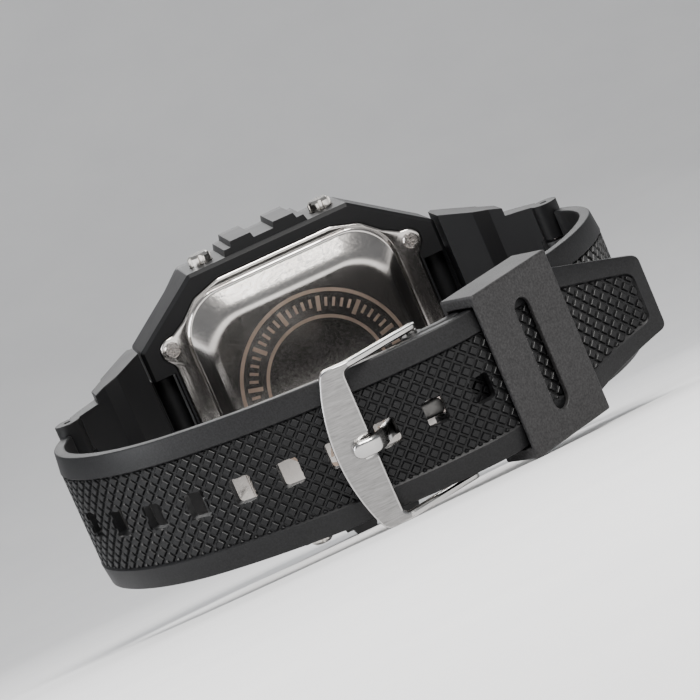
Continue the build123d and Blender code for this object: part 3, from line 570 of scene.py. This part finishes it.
def knuckle(start, bends, at, far, toward):
    """Mesh of a barrel round a spring bar and of the web that joins it to the strap."""
    edge = 0.22
    shoulder = 0.07
    web_start = 1.15
    web_level = half_thick - 0.02
    bm = bmesh.new()
    x, y, heading = pose_at(start, bends, at)
    levels = [(-knuckle_half, pin_radius), (-knuckle_half, knuckle_radius - edge),
              (-knuckle_half + shoulder, knuckle_radius - shoulder), (-knuckle_half + edge, knuckle_radius)]
    levels += [(-z, r) for z, r in reversed(levels)]
    barrel(bm, x, y, levels, heading)
    low, high = sorted((at + toward * web_start, far))
    rings = []
    for k in range(5):
        s = low + (high - low) * k / 4
        # Its top is flat, so 4, 3 and 2 mm only place the points on it
        ring = section(knuckle_half, web_level, -web_level, 4.0, web_level, 3.0, 2.0, web_level, 0.2, 0.2)
        rings.append([on_strap(start, bends, s, w, h) for w, h in ring])
    loft(bm, rings)
    return bm


def clear_hole(bm, hole, pitch):
    """Split the raised squares along the four sides of a hole and take out what lies inside."""
    half_s, half_w = hole_length / 2, hole_width / 2

    def faces_within(reach_s, reach_w):
        return [f for f in bm.faces if abs(f.calc_center_median().x - hole) < reach_s
                and abs(f.calc_center_median().y) < reach_w]

    for axis, place, size in ((0, hole, half_s), (1, 0.0, half_w)):
        for sign in (-1, 1):
            near = faces_within(half_s + pitch, half_w + pitch)
            verts = list(dict.fromkeys(v for f in near for v in f.verts))
            edges = list(dict.fromkeys(e for f in near for e in f.edges))
            co = [0.0, 0.0, 0.0]
            no = [0.0, 0.0, 0.0]
            co[axis] = place + sign * size
            no[axis] = 1.0
            bmesh.ops.bisect_plane(bm, geom=verts + edges + near, dist=1e-5, plane_co=co, plane_no=no)
    bmesh.ops.delete(bm, geom=faces_within(half_s - 1e-4, half_w - 1e-4), context="FACES")


def pads(start, bends, low, high, sides=(), places=(), sway_at=None):
    """Raised squares on a strap's panel, cut off at its ends and sides and round its holes.

    A side (a, b, c) keeps what has a s + b w below c, with s along the strap and w across it.
    """
    bm = bmesh.new()
    pitch = pad_pitch * math.sqrt(2)
    half = (pad_pitch - pad_gap) / math.sqrt(2)
    floor = half_thick - panel_depth
    top = half_thick - pad_drop
    levels = [(half, floor - pad_root), (half, floor), (half - pad_inset * math.sqrt(2), top - pad_crown),
              (half - (pad_inset + pad_crown) * math.sqrt(2), top)]
    across = int(half_width / (pitch / 2)) + 2
    sides = [(-1, 0, -low), (1, 0, high), (0, 1, floor_half), (0, -1, floor_half), *sides]
    for i in range(-1, int((high - low) / (pitch / 2)) + 3):
        for j in range(-across, across + 1):
            s, w = low + i * pitch / 2, j * pitch / 2
            if (i + j) % 2 or any(a * s + b * w > c + 1.5 * math.hypot(a, b) for a, b, c in sides):
                continue
            loft(bm, [[Vector((s + r, w, h)), Vector((s, w + r, h)), Vector((s - r, w, h)),
                       Vector((s, w - r, h))] for r, h in levels])
    for a, b, c in sides:
        share = c / (a * a + b * b)
        bmesh.ops.bisect_plane(bm, geom=bm.verts[:] + bm.edges[:] + bm.faces[:], dist=1e-5,
                               plane_co=(a * share, b * share, 0), plane_no=(a, b, 0), clear_outer=True)
    for place in places:
        clear_hole(bm, place, pitch)
    bmesh.ops.holes_fill(bm, edges=[e for e in bm.edges if e.is_boundary], sides=0)
    loose = [v for v in bm.verts if not v.link_faces]
    bmesh.ops.delete(bm, geom=loose, context="VERTS")
    for vert in bm.verts:
        s, w, h = vert.co
        vert.co = on_strap(start, bends, s, w - (sway_at(s) if sway_at else 0.0), h)
    return bm


def hole_cutters(start, bends, places):
    """Closed cutters for a strap's holes, with a small flare at the inner face."""
    flare = 0.10
    levels = [(-half_thick - 0.5, flare), (-half_thick - 0.02, flare), (-half_thick + 0.12, 0.0),
              (half_thick + 0.6, 0.0)]
    bm = bmesh.new()
    for place in places:
        x, y, heading = pose_at(start, bends, place)
        a = math.radians(heading)
        along = Vector((math.cos(a), math.sin(a), 0))
        out = Vector((math.sin(a), -math.cos(a), 0))
        rings = []
        for h, grow in levels:
            outline = rounded_outline(hole_length / 2 + grow, hole_width / 2 + grow, hole_corner + grow, 4)
            rings.append([Vector((x, y, 0)) + along * u + out * h + Vector((0, 0, v)) for u, v in outline])
        loft(bm, rings)
    return bm


# Long strap
holes = [first_bend + i * hole_pitch for i in range(hole_count)]
panel_start = 2 * knuckle_radius
floor_half = half_width - border - wall_run
body_start = knuckle_radius + knuckle_gap
bm = strap_body(long_start, long_bends, body_start, long_length, panel_start, mitre=True)
long_strap = piece("long_strap_rubber", bm, rubber, "long_strap", ["long_strap"])
cut(long_strap, hole_cutters(long_start, long_bends, holes))
bm = knuckle(long_start, long_bends, 0.0, body_start + knuckle_reach, 1)
piece("long_strap_knuckle", bm, rubber, "long_strap")
lean = (half_width - tip_half_width - tip_narrower) / taper_length
tip_floor = tip_half_width - border + tip_narrower - wall_run
tail_sides = [(lean, side, tip_floor + lean * long_length) for side in (1, -1)]
pad_end = long_length - tip_crest - wall_run
pad_corner = panel_corner - wall_run
corner_s = pad_end - pad_corner
corner_w = tip_floor + lean * (tip_crest + wall_run) - pad_corner
for degrees in (22.5, 45.0, 67.5):
    a, b = math.cos(math.radians(degrees)), math.sin(math.radians(degrees))
    tail_sides += [(a, side * b, a * corner_s + b * corner_w + pad_corner) for side in (1, -1)]
bm = pads(long_start, long_bends, panel_start + wall_run, pad_end, tail_sides, holes, tail_sway)
piece("long_strap_pattern", bm, rubber_pads, "long_strap", smooth=20.0)

# Short strap
short_end = short_length - body_start
bm = strap_body(short_start, short_bends, short_begin, short_end, end_border)
piece("short_strap_rubber", bm, rubber, "short_strap", ["short_strap"])
bm = knuckle(short_start, short_bends, short_length, short_end - knuckle_reach, -1)
piece("short_strap_knuckle", bm, rubber, "short_strap")
bm = pads(short_start, short_bends, end_border + wall_run, short_end - end_border - wall_run)
piece("short_strap_pattern", bm, rubber_pads, "short_strap", smooth=20.0)

# Buckle end of the short strap: an eye on each side of the tongue
eye_radius = 1.6
eye_edge = 0.18
tongue_half = 1.2
tongue_gap = 0.3
eye_depth = half_thick + layer_gap + eye_radius
eye = on_strap(long_start, long_bends, bar_distance, 0, -eye_depth)
near_z = tongue_half + tongue_gap
bm = bmesh.new()
for side in (1, -1):
    levels = [(near_z, pin_radius), (near_z, eye_radius - eye_edge), (near_z + eye_edge, eye_radius),
              (half_width - eye_edge, eye_radius), (half_width, eye_radius - eye_edge),
              (half_width, pin_radius)]
    barrel(bm, eye.x, eye.y, [(side * z, r) for z, r in levels])
piece("short_strap_eyes", bm, rubber, "short_strap")

# Buckle: local X runs from its bar to its front, local Y away from the wrist
side_half = 11.35
arm_width = 0.9
plate_thick = 1.4
front_inner = 10.7
front_outer = 13.6
front_bow = 2.4
inner_round = 0.9
outer_round = 1.5
strap_to_plate = 0.5
plate_height = eye_depth + half_thick + strap_to_plate + plate_thick / 2
bend_share = 0.15
end_radius = 0.82
end_reach = 3.0
bow_radius = (side_half ** 2 + front_bow ** 2) / (2 * front_bow)
buckle_angle = math.radians(pose_at(long_start, long_bends, bar_distance - front_inner / 2)[2] + 180)


def on_buckle(x, y, z):
    """Upright place of a point drawn with the buckle's bar at the origin."""
    c, s = math.cos(buckle_angle), math.sin(buckle_angle)
    return Vector((eye.x + x * c - y * s, eye.y + x * s + y * c, z))


def arm_rise(x):
    """Height and slope of the frame's middle layer: straight arms, then a short bend into the front plate."""
    steep = plate_height / front_inner / (1 - bend_share / 2)
    u = min(1.0, x / front_inner)
    left = max(0.0, u - 1 + bend_share)
    rise = steep * front_inner * (u - left * left / (2 * bend_share))
    return rise, steep * (1 - left / bend_share)


def bow_x(z):
    """Front edge of the frame."""
    return front_outer + front_bow - bow_radius + math.sqrt(bow_radius ** 2 - z ** 2)


arm_tilt = math.hypot(1, arm_rise(0.0)[1])


def frame_edges():
    """Pairs of points (x, z) on half the frame's inner and outer edge, from an arm's end to the middle."""
    turn_x = front_inner - inner_round
    turn_z = side_half - arm_width - inner_round
    stations = [-end_radius * math.cos(math.radians(10 * i)) / arm_tilt for i in range(9)]
    stations += [turn_x * i / 26 for i in range(27)]
    pairs = [((x, side_half - arm_width), (x, side_half)) for x in stations]
    tilt = math.asin(side_half / bow_radius)
    centre_z = side_half - outer_round
    centre_x = front_outer
    for i in range(40):
        gap = bow_x(centre_z + outer_round * math.sin(tilt)) - outer_round * math.cos(tilt) - centre_x
        centre_x += gap * 0.5
    outer = [(turn_x + (centre_x - turn_x) * i / 6, side_half) for i in range(7)]
    outer += [(centre_x + outer_round * math.sin(a), centre_z + outer_round * math.cos(a))
              for a in [(math.pi / 2 - tilt) * i / 8 for i in range(1, 9)]]
    low_z = outer[-1][1]
    outer += [(bow_x(z), z) for z in [low_z + (turn_z - low_z) * i / 4 for i in range(1, 5)]]
    lengths = [0.0]
    for p, q in zip(outer, outer[1:]):
        lengths.append(lengths[-1] + math.dist(p, q))
    for i in range(1, 17):
        a = math.pi / 2 * i / 16
        want = lengths[-1] * i / 16
        k = max(j for j in range(len(lengths) - 1) if lengths[j] <= want + 1e-9)
        t = min(1.0, (want - lengths[k]) / (lengths[k + 1] - lengths[k]))
        near = (turn_x + inner_round * math.sin(a), turn_z + inner_round * math.cos(a))
        far = tuple(u + (v - u) * t for u, v in zip(outer[k], outer[k + 1]))
        pairs.append((near, far))
    for i in range(1, 25):
        z = turn_z * (1 - i / 24)
        pairs.append(((front_inner, z), (bow_x(z), z)))
    return pairs


def frame_half_thick(x):
    """Half the frame's thickness, which grows from the plate's to the arm's rounded end."""
    half = plate_thick / 2
    if x >= end_reach:
        return half
    if x > 0:
        return half + (end_radius - half) * (end_reach - x) / end_reach
    return max(0.05, math.sqrt(max(0.0, end_radius ** 2 - (x * arm_tilt) ** 2)))


def frame_ring(width, half):
    """Points (across, up) round the frame's section, with round edges and a chamfer inside."""
    r = min(0.20, half * 0.6)
    c = min(0.26, half * 0.6)
    quarter = (0.0, 0.52, 1.05, 1.571)
    ring = [(c, half), (width * 0.33, half), (width * 0.67, half)]
    ring += [(width - r + r * math.sin(a), half - r + r * math.cos(a)) for a in quarter]
    ring += [(width - r + r * math.cos(a), -half + r - r * math.sin(a)) for a in quarter]
    ring += [(width * 0.5, -half)]
    ring += [(r - r * math.sin(a), -half + r - r * math.cos(a)) for a in quarter]
    return ring + [(0.0, half - c), (0.02, half - c + 0.03), (c - 0.03, half - 0.02)]


def smooth_step(value):
    """Smooth rise from 0 to 1."""
    u = min(1.0, max(0.0, value))
    return u * u * (3 - 2 * u)


half_pairs = frame_edges()
pairs = half_pairs + [((a, -b), (c, -d)) for (a, b), (c, d) in reversed(half_pairs[:-1])]
notch_half = 1.5
notch_length = 1.5
notch_depth = 0.35
rings = []
for near, far in pairs:
    near, far = Vector(near), Vector(far)
    out = (far - near).normalized()
    points = []
    for across, up in frame_ring((far - near).length, frame_half_thick(near.x)):
        p = near + out * across
        rise, slope = arm_rise(p.x)
        size = math.hypot(1, slope)
        if up > 0 and p.x > front_inner - 0.3:
            u = smooth_step((notch_half + 0.25 - abs(p.y)) / 0.5)
            v = smooth_step((front_inner + notch_length - p.x) / 0.6)
            up -= notch_depth * u * v
        points.append(on_buckle(p.x - slope / size * up, rise + up / size, p.y))
    rings.append(points)
bm = bmesh.new()
loft(bm, rings)
plate = piece("buckle_frame_plate", bm, brushed, "buckle", ["buckle_frame"], smooth=35.0)
plate.data.materials.append(bright)
front = (laid.to_3x3() @ Vector((-math.sin(buckle_angle), math.cos(buckle_angle), 0))).normalized()
for face in plate.data.polygons:
    face.material_index = 0 if face.normal.dot(front) > 0.97 else 1

# Tongue: a run under the strap, a step up through the hole and a round tip
blade_half = 0.55
blade_thicker = 0.13
tip_length = 1.15
root_rings = 6
root_share = 0.55
# Painted shade: the tongue's run under the strap, up to this distance, gets the dark steel; beyond it the blade
# thickens
painted_shade_length = 8.0
under_level = eye_depth - half_thick - layer_gap - blade_half
over_level = plate_height + plate_thick / 2 + 0.66
tongue_route = [(0.0, under_level), (3.0, under_level), (6.0, under_level), (7.4, under_level + 0.15),
                (8.0, under_level + 1.1), (8.6, 3.2), (9.3, 4.7), (10.2, 5.95), (10.8, over_level - 0.08),
                (11.4, over_level + 0.02), (12.6, over_level - 0.04), (13.7, over_level - 0.12)]


def along_route(points, count):
    """Smooth run through points, with its directions."""
    result = []
    spans = len(points) - 1
    for i in range(count + 1):
        t = spans * i / count
        k = min(int(t), spans - 1)
        t -= k
        p = [Vector(points[max(0, min(spans, k + j))]) for j in (-1, 0, 1, 2)]
        a = 2 * p[1]
        b = p[2] - p[0]
        c = 2 * p[0] - 5 * p[1] + 4 * p[2] - p[3]
        d = -p[0] + 3 * p[1] - 3 * p[2] + p[3]
        place = 0.5 * (a + b * t + c * t * t + d * t ** 3)
        result.append((place, (b + 2 * c * t + 3 * d * t * t).normalized()))
    return result


def flattened(value, power):
    """Power of a sine or cosine that keeps its sign."""
    return math.copysign(abs(value) ** power, value)


rings = []
route = along_route(tongue_route, 100)
for i, (p, run) in enumerate(route):
    left = (route[-1][0] - p).length
    half_u = tongue_half
    half_v = blade_half
    if p.x > painted_shade_length:
        half_v += blade_thicker * min(1.0, (p.x - painted_shade_length) / 2.6)
    if left < tip_length:
        taper = math.sqrt(max(0.0, 1 - (1 - left / tip_length) ** 2))
        half_u *= max(0.03, taper)
        half_v *= max(0.03, taper ** 0.6)
    if i < root_rings:
        half_v *= root_share + (1 - root_share) * i / root_rings
    up = Vector((-run.y, run.x))
    ring = []
    for k in range(28):
        a = 2 * math.pi * k / 28
        q = p + up * (flattened(math.sin(a), 0.8) * half_v)
        ring.append(on_buckle(q.x, q.y, flattened(math.cos(a), 0.55) * half_u))
    rings.append(ring)
bm = bmesh.new()
loft(bm, rings)
blade = piece("tongue_blade", bm, bright, "tongue", ["tongue"], smooth=50.0)
# The run under the strap gets the dark steel as painted shade where the strap shades it; the rest stays bright
blade.data.materials.append(painted_shade_steel)
blade_root = laid @ on_buckle(0, 0, 0)
painted_shade_run = laid @ on_buckle(painted_shade_length, 0, 0) - blade_root
for face in blade.data.polygons:
    if (face.center - blade_root).dot(painted_shade_run) < painted_shade_run.length_squared:
        face.material_index = 1

# Eye of the tongue round the bar
tongue_eye_radius = 1.35
tongue_eye_edge = 0.1
levels = [(-tongue_half, pin_radius), (-tongue_half, tongue_eye_radius - tongue_eye_edge),
          (-tongue_half + tongue_eye_edge, tongue_eye_radius)]
levels += [(-z, r) for z, r in reversed(levels)]
bm = bmesh.new()
barrel(bm, eye.x, eye.y, levels, math.degrees(buckle_angle))
# The tongue's eye takes the darker bar steel, painted shade
piece("tongue_eye", bm, bar_steel, "tongue")


# Case back
def fillet_outline(points, radius):
    """Closed polygon with its corners rounded."""
    count = 5
    result = []
    total = len(points)
    for i in range(total):
        p = Vector(points[i - 1])
        q = Vector(points[i])
        r = Vector(points[(i + 1) % total])
        u = (p - q).normalized()
        v = (r - q).normalized()
        angle = u.angle(v)
        if angle > math.radians(178):
            result.append(tuple(q))
            continue
        reach = min(radius / math.tan(angle / 2), (p - q).length * 0.49, (r - q).length * 0.49)
        size = reach * math.tan(angle / 2)
        centre = q + (u + v).normalized() * (size / math.sin(angle / 2))
        first = q + u * reach - centre
        last = q + v * reach - centre
        a0 = math.atan2(first.y, first.x)
        a1 = math.atan2(last.y, last.x)
        turn = (a1 - a0 + math.pi) % (2 * math.pi) - math.pi
        for k in range(count + 1):
            a = a0 + turn * k / count
            result.append((centre.x + size * math.cos(a), centre.y + size * math.sin(a)))
    return result


def reach_of(outline, angle):
    """Distance from the origin to an outline in a direction."""
    c, s = math.cos(angle), math.sin(angle)
    best = 0.0
    for p, q in zip(outline, outline[1:] + outline[:1]):
        d = c * (q[1] - p[1]) - s * (q[0] - p[0])
        if abs(d) < 1e-12:
            continue
        t = (p[0] * (q[1] - p[1]) - p[1] * (q[0] - p[0])) / d
        u = (p[0] * s - p[1] * c) / d
        if t > 0 and -1e-9 <= u <= 1 + 1e-9:
            best = max(best, t)
    return best


def mirrored(points):
    """Closed ring from the points of its first quadrant."""
    top = [(-x, z) for x, z in reversed(points) if x > 1e-9]
    half = points + top
    below = [(x, -z) for x, z in reversed(half) if z > 1e-9]
    return half + below


directions = [math.radians(0.5 * i) for i in range(720)]


def reaches_of(outline):
    """Reach of an outline in every direction."""
    return [reach_of(outline, a) for a in directions]


def ring_at(reaches, level, inset=0.0):
    """Ring of points at one level."""
    return [Vector(((r - inset) * math.cos(a), level, (r - inset) * math.sin(a)))
            for r, a in zip(reaches, directions)]


ear = 1.65
flange_half_length = 19.4
flange_half_width = 19.7
screw_x = 19.0
screw_z = 12.94
base_x = 16.2
base_z = 18.2
flange = mirrored([
    (flange_half_length, 0.0), (flange_half_length, screw_z - 1.4 * ear),
    (screw_x + ear, screw_z - 0.5 * ear), (screw_x + ear, screw_z + 0.4 * ear),
    (screw_x + 0.4 * ear, screw_z + ear), (screw_x - 0.5 * ear, screw_z + 1.1 * ear),
    (base_x - 0.2 * ear, base_z - 1.3 * ear), (base_x - 1.8 * ear, base_z + 0.1 * ear),
    (base_x - 4.4 * ear, flange_half_width),
])
flange_reach = reaches_of(fillet_outline(flange, 1.1))
flange_top = 0.8
flange_edge = 0.32
dome = 1.6
base_loop = reaches_of(rounded_outline(base_x, base_z, 6.5, 16))
flat_loop = reaches_of(rounded_outline(14.0, 14.6, 6.0, 16))
rings = [ring_at(flange_reach, flange_top), ring_at(flange_reach, flange_edge)]
for k in range(1, 5):
    a = math.radians(22.5 * k)
    level = flange_edge - flange_edge * math.sin(a)
    rings.append(ring_at(flange_reach, level, flange_edge * (1 - math.cos(a))))

# Groove round the raised centre, its bevel, its crown and its flat
for level, inset in ((0.0, -0.62), (0.05, -0.52), (0.16, -0.38), (0.16, -0.26), (0.05, -0.12), (-0.10, 0.02)):
    rings.append(ring_at(base_loop, level, inset))
bevel_from = 0.06
crown_from = 0.70
for k in range(31):
    u = bevel_from + (2 - crown_from - bevel_from) * k / 30
    reaches = [b + (f - b) * u for b, f in zip(base_loop, flat_loop)]
    bend = max(0.0, u - crown_from)
    rings.append(ring_at(reaches, -dome * (u - bend * bend / (4 * (1 - crown_from)))))
for share in (0.85, 0.72, 0.5, 0.28, 0.08):
    rings.append(ring_at([f * share for f in flat_loop], -dome))
bm = bmesh.new()
loft(bm, rings)
piece("case_back_plate", bm, back_steel, "case", ["case_back"], smooth=40.0)

# Engraved rings and plain ticks
mark_back = -dome - 0.025
mark_front = -dome + 0.03


def band(bm, inner, outer):
    """Flat engraved ring about the Y axis."""
    corners = [(inner, mark_front), (inner, mark_back), (outer, mark_back), (outer, mark_front)]
    turns = [2 * math.pi * i / 180 for i in range(180)]
    hoop(bm, [[(r * math.cos(a), y, r * math.sin(a)) for r, y in corners] for a in turns])


def tick(bm, low, high, width, angle):
    """Flat radial tick on the case back."""
    c, s = math.cos(angle), math.sin(angle)
    corners = [(low, -width / 2), (high, -width / 2), (high, width / 2), (low, width / 2)]
    outline = [(u * c - v * s, u * s + v * c) for u, v in corners]
    loft(bm, [[Vector((x, y, z)) for x, z in outline] for y in (mark_front, mark_back)])


tick_count = 60
bm = bmesh.new()
band(bm, 12.49, 13.03)
band(bm, 8.66, 9.16)
for i in range(tick_count):
    low, high, width = (9.75, 11.95, 0.62) if i % 5 == 2 else (10.35, 11.65, 0.42)
    tick(bm, low, high, width, 2 * math.pi * (i + 0.5) / tick_count)
piece("case_back_marks", bm, etched, "case", smooth=40.0)

# Display: digits of up to seven strokes
slant = 0.10
strokes = {"0": "abcdef", "1": "bc", "2": "abged", "3": "abgcd", "5": "afgcd", "6": "afgedc", "8": "abcdefg"}


def stroke_outline(kind, width, height, thick):
    """Six-sided outline of one stroke of a digit, in a box that starts at the origin."""
    gap = 0.06
    ends = {
        "a": ((0, height), (width, height)), "g": ((0, height / 2), (width, height / 2)),
        "d": ((0, 0), (width, 0)), "f": ((0, height), (0, height / 2)),
        "b": ((width, height), (width, height / 2)), "e": ((0, height / 2), (0, 0)),
        "c": ((width, height / 2), (width, 0)),
    }[kind]
    p, q = Vector(ends[0]), Vector(ends[1])
    u = (q - p).normalized()
    v = Vector((-u.y, u.x))
    half = thick / 2
    p = p + u * gap
    q = q - u * gap
    points = [p, p + u * half + v * half, q - u * half + v * half, q, q - u * half - v * half,
              p + u * half - v * half]
    return [(a + slant * b, b) for a, b in points]


def digits(bm, row, up, width, height, thick):
    """Digits (sign, across) of one size. Reading runs along Z, from 9 to 3 o'clock, and up is towards X."""
    for sign, across in row:
        for kind in strokes[sign]:
            outline = stroke_outline(kind, width, height, thick)
            loft(bm, [[Vector((up + b, y, across + a)) for a, b in outline]
                      for y in (display_level, display_level + segment_height)])


def plate_bar(bm, x0, x1, z0, z1, level, height):
    """Flat bar on the face."""
    corners = ((x0, z0), (x1, z0), (x1, z1), (x0, z1))
    loft(bm, [[Vector((x, y, z)) for x, z in corners] for y in (level, level + height)])


def face_ring(bm, outer, inner, low, high, cham=0.0):
    """Rounded rectangular ring on the face, from (half x, half z, corner) outside and inside."""
    sizes = [(inner, 0.0, low), (inner, 0.0, high - cham), (inner, cham, high), (outer, -cham, high),
             (outer, 0.0, high - cham), (outer, 0.0, low)]
    hoop(bm, [[(x, y, z) for x, z in rounded_outline(half_x + grow, half_z + grow, corner + grow, 8)]
              for (half_x, half_z, corner), grow, y in sizes])


display_level = 7.8
segment_height = 0.03
low_row = -5.2
high_row = 3.0
bm = bmesh.new()
digits(bm, (("1", -8.35), ("0", -5.35), ("5", -1.35), ("8", 1.6)), low_row, 2.05, 5.4, 0.46)
digits(bm, (("3", 4.75), ("6", 6.25)), low_row, 0.95, 2.5, 0.26)
for up in (-3.7, -1.5):
    plate_bar(bm, up - 0.25, up + 0.25, -2.35, -1.85, display_level, segment_height)
digits(bm, (("1", 4.75), ("2", 6.25), ("2", -7.4), ("8", -5.9)), high_row, 0.95, 2.4, 0.26)
plate_bar(bm, 1.75, 1.87, -7.8, 7.8, display_level, 0.02)
piece("display_digits", bm, segment, "case", smooth=20.0)

# Printed face under the crystal, and a raised frame round it
face_level = 9.78
line_low = face_level + 0.055
bm = bmesh.new()
face_ring(bm, (13.1, 10.9, 1.4), (7.3, 8.3, 1.1), face_level, face_level + 0.06)
piece("face_print", bm, print_black, "case")
bm = bmesh.new()
face_ring(bm, (8.05, 9.05, 1.6), (7.75, 8.75, 1.4), line_low, line_low + 0.025)
for x in (10.2, 11.2):
    for side in (1, -1):
        plate_bar(bm, *sorted((side * x, side * (x + 0.28))), -9.05, 9.05, line_low, 0.025)
piece("face_lines", bm, print_line, "case")
bezel_face = 12.4
bm = bmesh.new()
face_ring(bm, (15.3, 13.1, 3.0), (13.7, 11.5, 1.6), bezel_face - 0.3, bezel_face + 0.42, 0.28)
piece("bezel_frame", bm, bezel_resin, "case", smooth=40.0)

# Return springs of the pushers, copied onto the case with meshes of their own
for row in ("upper_12", "upper_6", "lower_12", "lower_6"):
    node = frame["nodes"]["pusher_spring_" + row]
    press = Vector(joints["pusher_" + row + "_press"]["axis"]).normalized()
    coil = bpy.data.objects.new("pusher_coil_" + row, node.data.copy())
    coil.matrix_world = node.matrix_world
    bpy.context.scene.collection.objects.link(coil)
    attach(coil, "case")
    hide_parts("pusher_spring_" + row)
    reaches = [(node.matrix_world @ vert.co).dot(press) for vert in node.data.vertices]
    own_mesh(coil)

# Rounded edges on the hard solids that stay
rounded = {"case_middle": 0.28, "bezel": 0.30, "end_link_12": 0.28, "end_link_6": 0.28, "keeper": 0.30,
           "crystal": 0.20}
for name, width in rounded.items():
    soften(frame["nodes"][name], width)

# Stage, in metres: a floor that curves up into a wall behind
stage_half = 2.2
stage_front = -1.6
wall_foot = 0.35
wall_round = 0.5
wall_height = 2.2
profile = [(stage_front, 0.0), (wall_foot, 0.0)]
for i in range(1, 25):
    a = math.radians(90 * i / 24)
    profile.append((wall_foot + wall_round * math.sin(a), wall_round - wall_round * math.cos(a)))
profile.append((wall_foot + wall_round, wall_height))
bm = bmesh.new()
left_row, right_row = rows_of(bm, [[(x, y, z) for y, z in profile] for x in (-stage_half, stage_half)])
for i in range(len(profile) - 1):
    bm.faces.new((left_row[i], left_row[i + 1], right_row[i + 1], right_row[i]))
mesh = bpy.data.meshes.new("studio_floor")
bm.to_mesh(mesh)
bm.free()
mesh.shade_smooth()
floor = bpy.data.objects.new("studio_floor", mesh)
bpy.context.scene.collection.objects.link(floor)
paper, tree, shader = nodes_of("studio_paper")
tone = ramp_of(tree, noise_of(tree, 40.0, 6.0), 0.3, 0.7, (0.70, 0.70, 0.71), (0.735, 0.735, 0.74))
tree.links.new(tone, shader.inputs["Base Color"])
shader.inputs["Roughness"].default_value = 0.7
tree.links.new(bump_of(tree, noise_of(tree, 3000.0, 4.0), 0.00002, 0.15), shader.inputs["Normal"])
mesh.materials.append(paper)
floor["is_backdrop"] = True

# Light
world = bpy.data.worlds.new("studio")
bpy.context.scene.world = world
world.use_nodes = True
world.node_tree.nodes["Background"].inputs["Color"].default_value = (0.86, 0.89, 0.93, 1)
world.node_tree.nodes["Background"].inputs["Strength"].default_value = 0.30


def softbox(name, place, size_x, size_y, power, colour):
    """Rectangular soft light that looks at the watch."""
    target = Vector((0.0, 0.0, 0.022))
    light = bpy.data.lights.new(name, "AREA")
    light.shape = "RECTANGLE"
    light.size = size_x
    light.size_y = size_y
    light.energy = power
    light.color = colour
    lamp = bpy.data.objects.new(name, light)
    lamp.location = place
    lamp.rotation_mode = "QUATERNION"
    lamp.rotation_quaternion = (target - Vector(place)).to_track_quat("-Z", "Y")
    bpy.context.scene.collection.objects.link(lamp)


softbox("key", (0.08, -0.38, 0.39), 0.26, 0.24, 6.5, (1.0, 0.985, 0.96))
softbox("side", (-0.42, -0.12, 0.16), 0.22, 0.32, 1.8, (0.95, 0.97, 1.0))
softbox("rim", (0.10, 0.34, 0.34), 0.40, 0.20, 1.2, (1.0, 1.0, 1.0))

# Camera at the photograph's place, fitted in upright millimetres
focal_pixels = 3534.962
frame_pixels = 700.0
eye_place = Vector((-62.1664, -497.0771, 101.3398))
right = Vector((0.8989988, -0.1986950, -0.3902837))
down = Vector((-0.4180499, -0.1237487, -0.8999559))
ahead = Vector((0.1305196, 0.9722173, -0.1943144))
camera_turn = Matrix((right, -down, -ahead)).transposed()
camera = bpy.data.cameras.new("camera")
camera.sensor_width = 36.0
camera.lens = focal_pixels * camera.sensor_width / frame_pixels
camera.clip_start = 0.01
camera.clip_end = 20.0
view = bpy.data.objects.new("camera", camera)
view.matrix_world = Matrix.Translation(laid @ eye_place) @ upright @ camera_turn.to_4x4()
bpy.context.scene.collection.objects.link(view)
bpy.context.scene.camera = view

bpy.context.view_layer.update()
low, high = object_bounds()
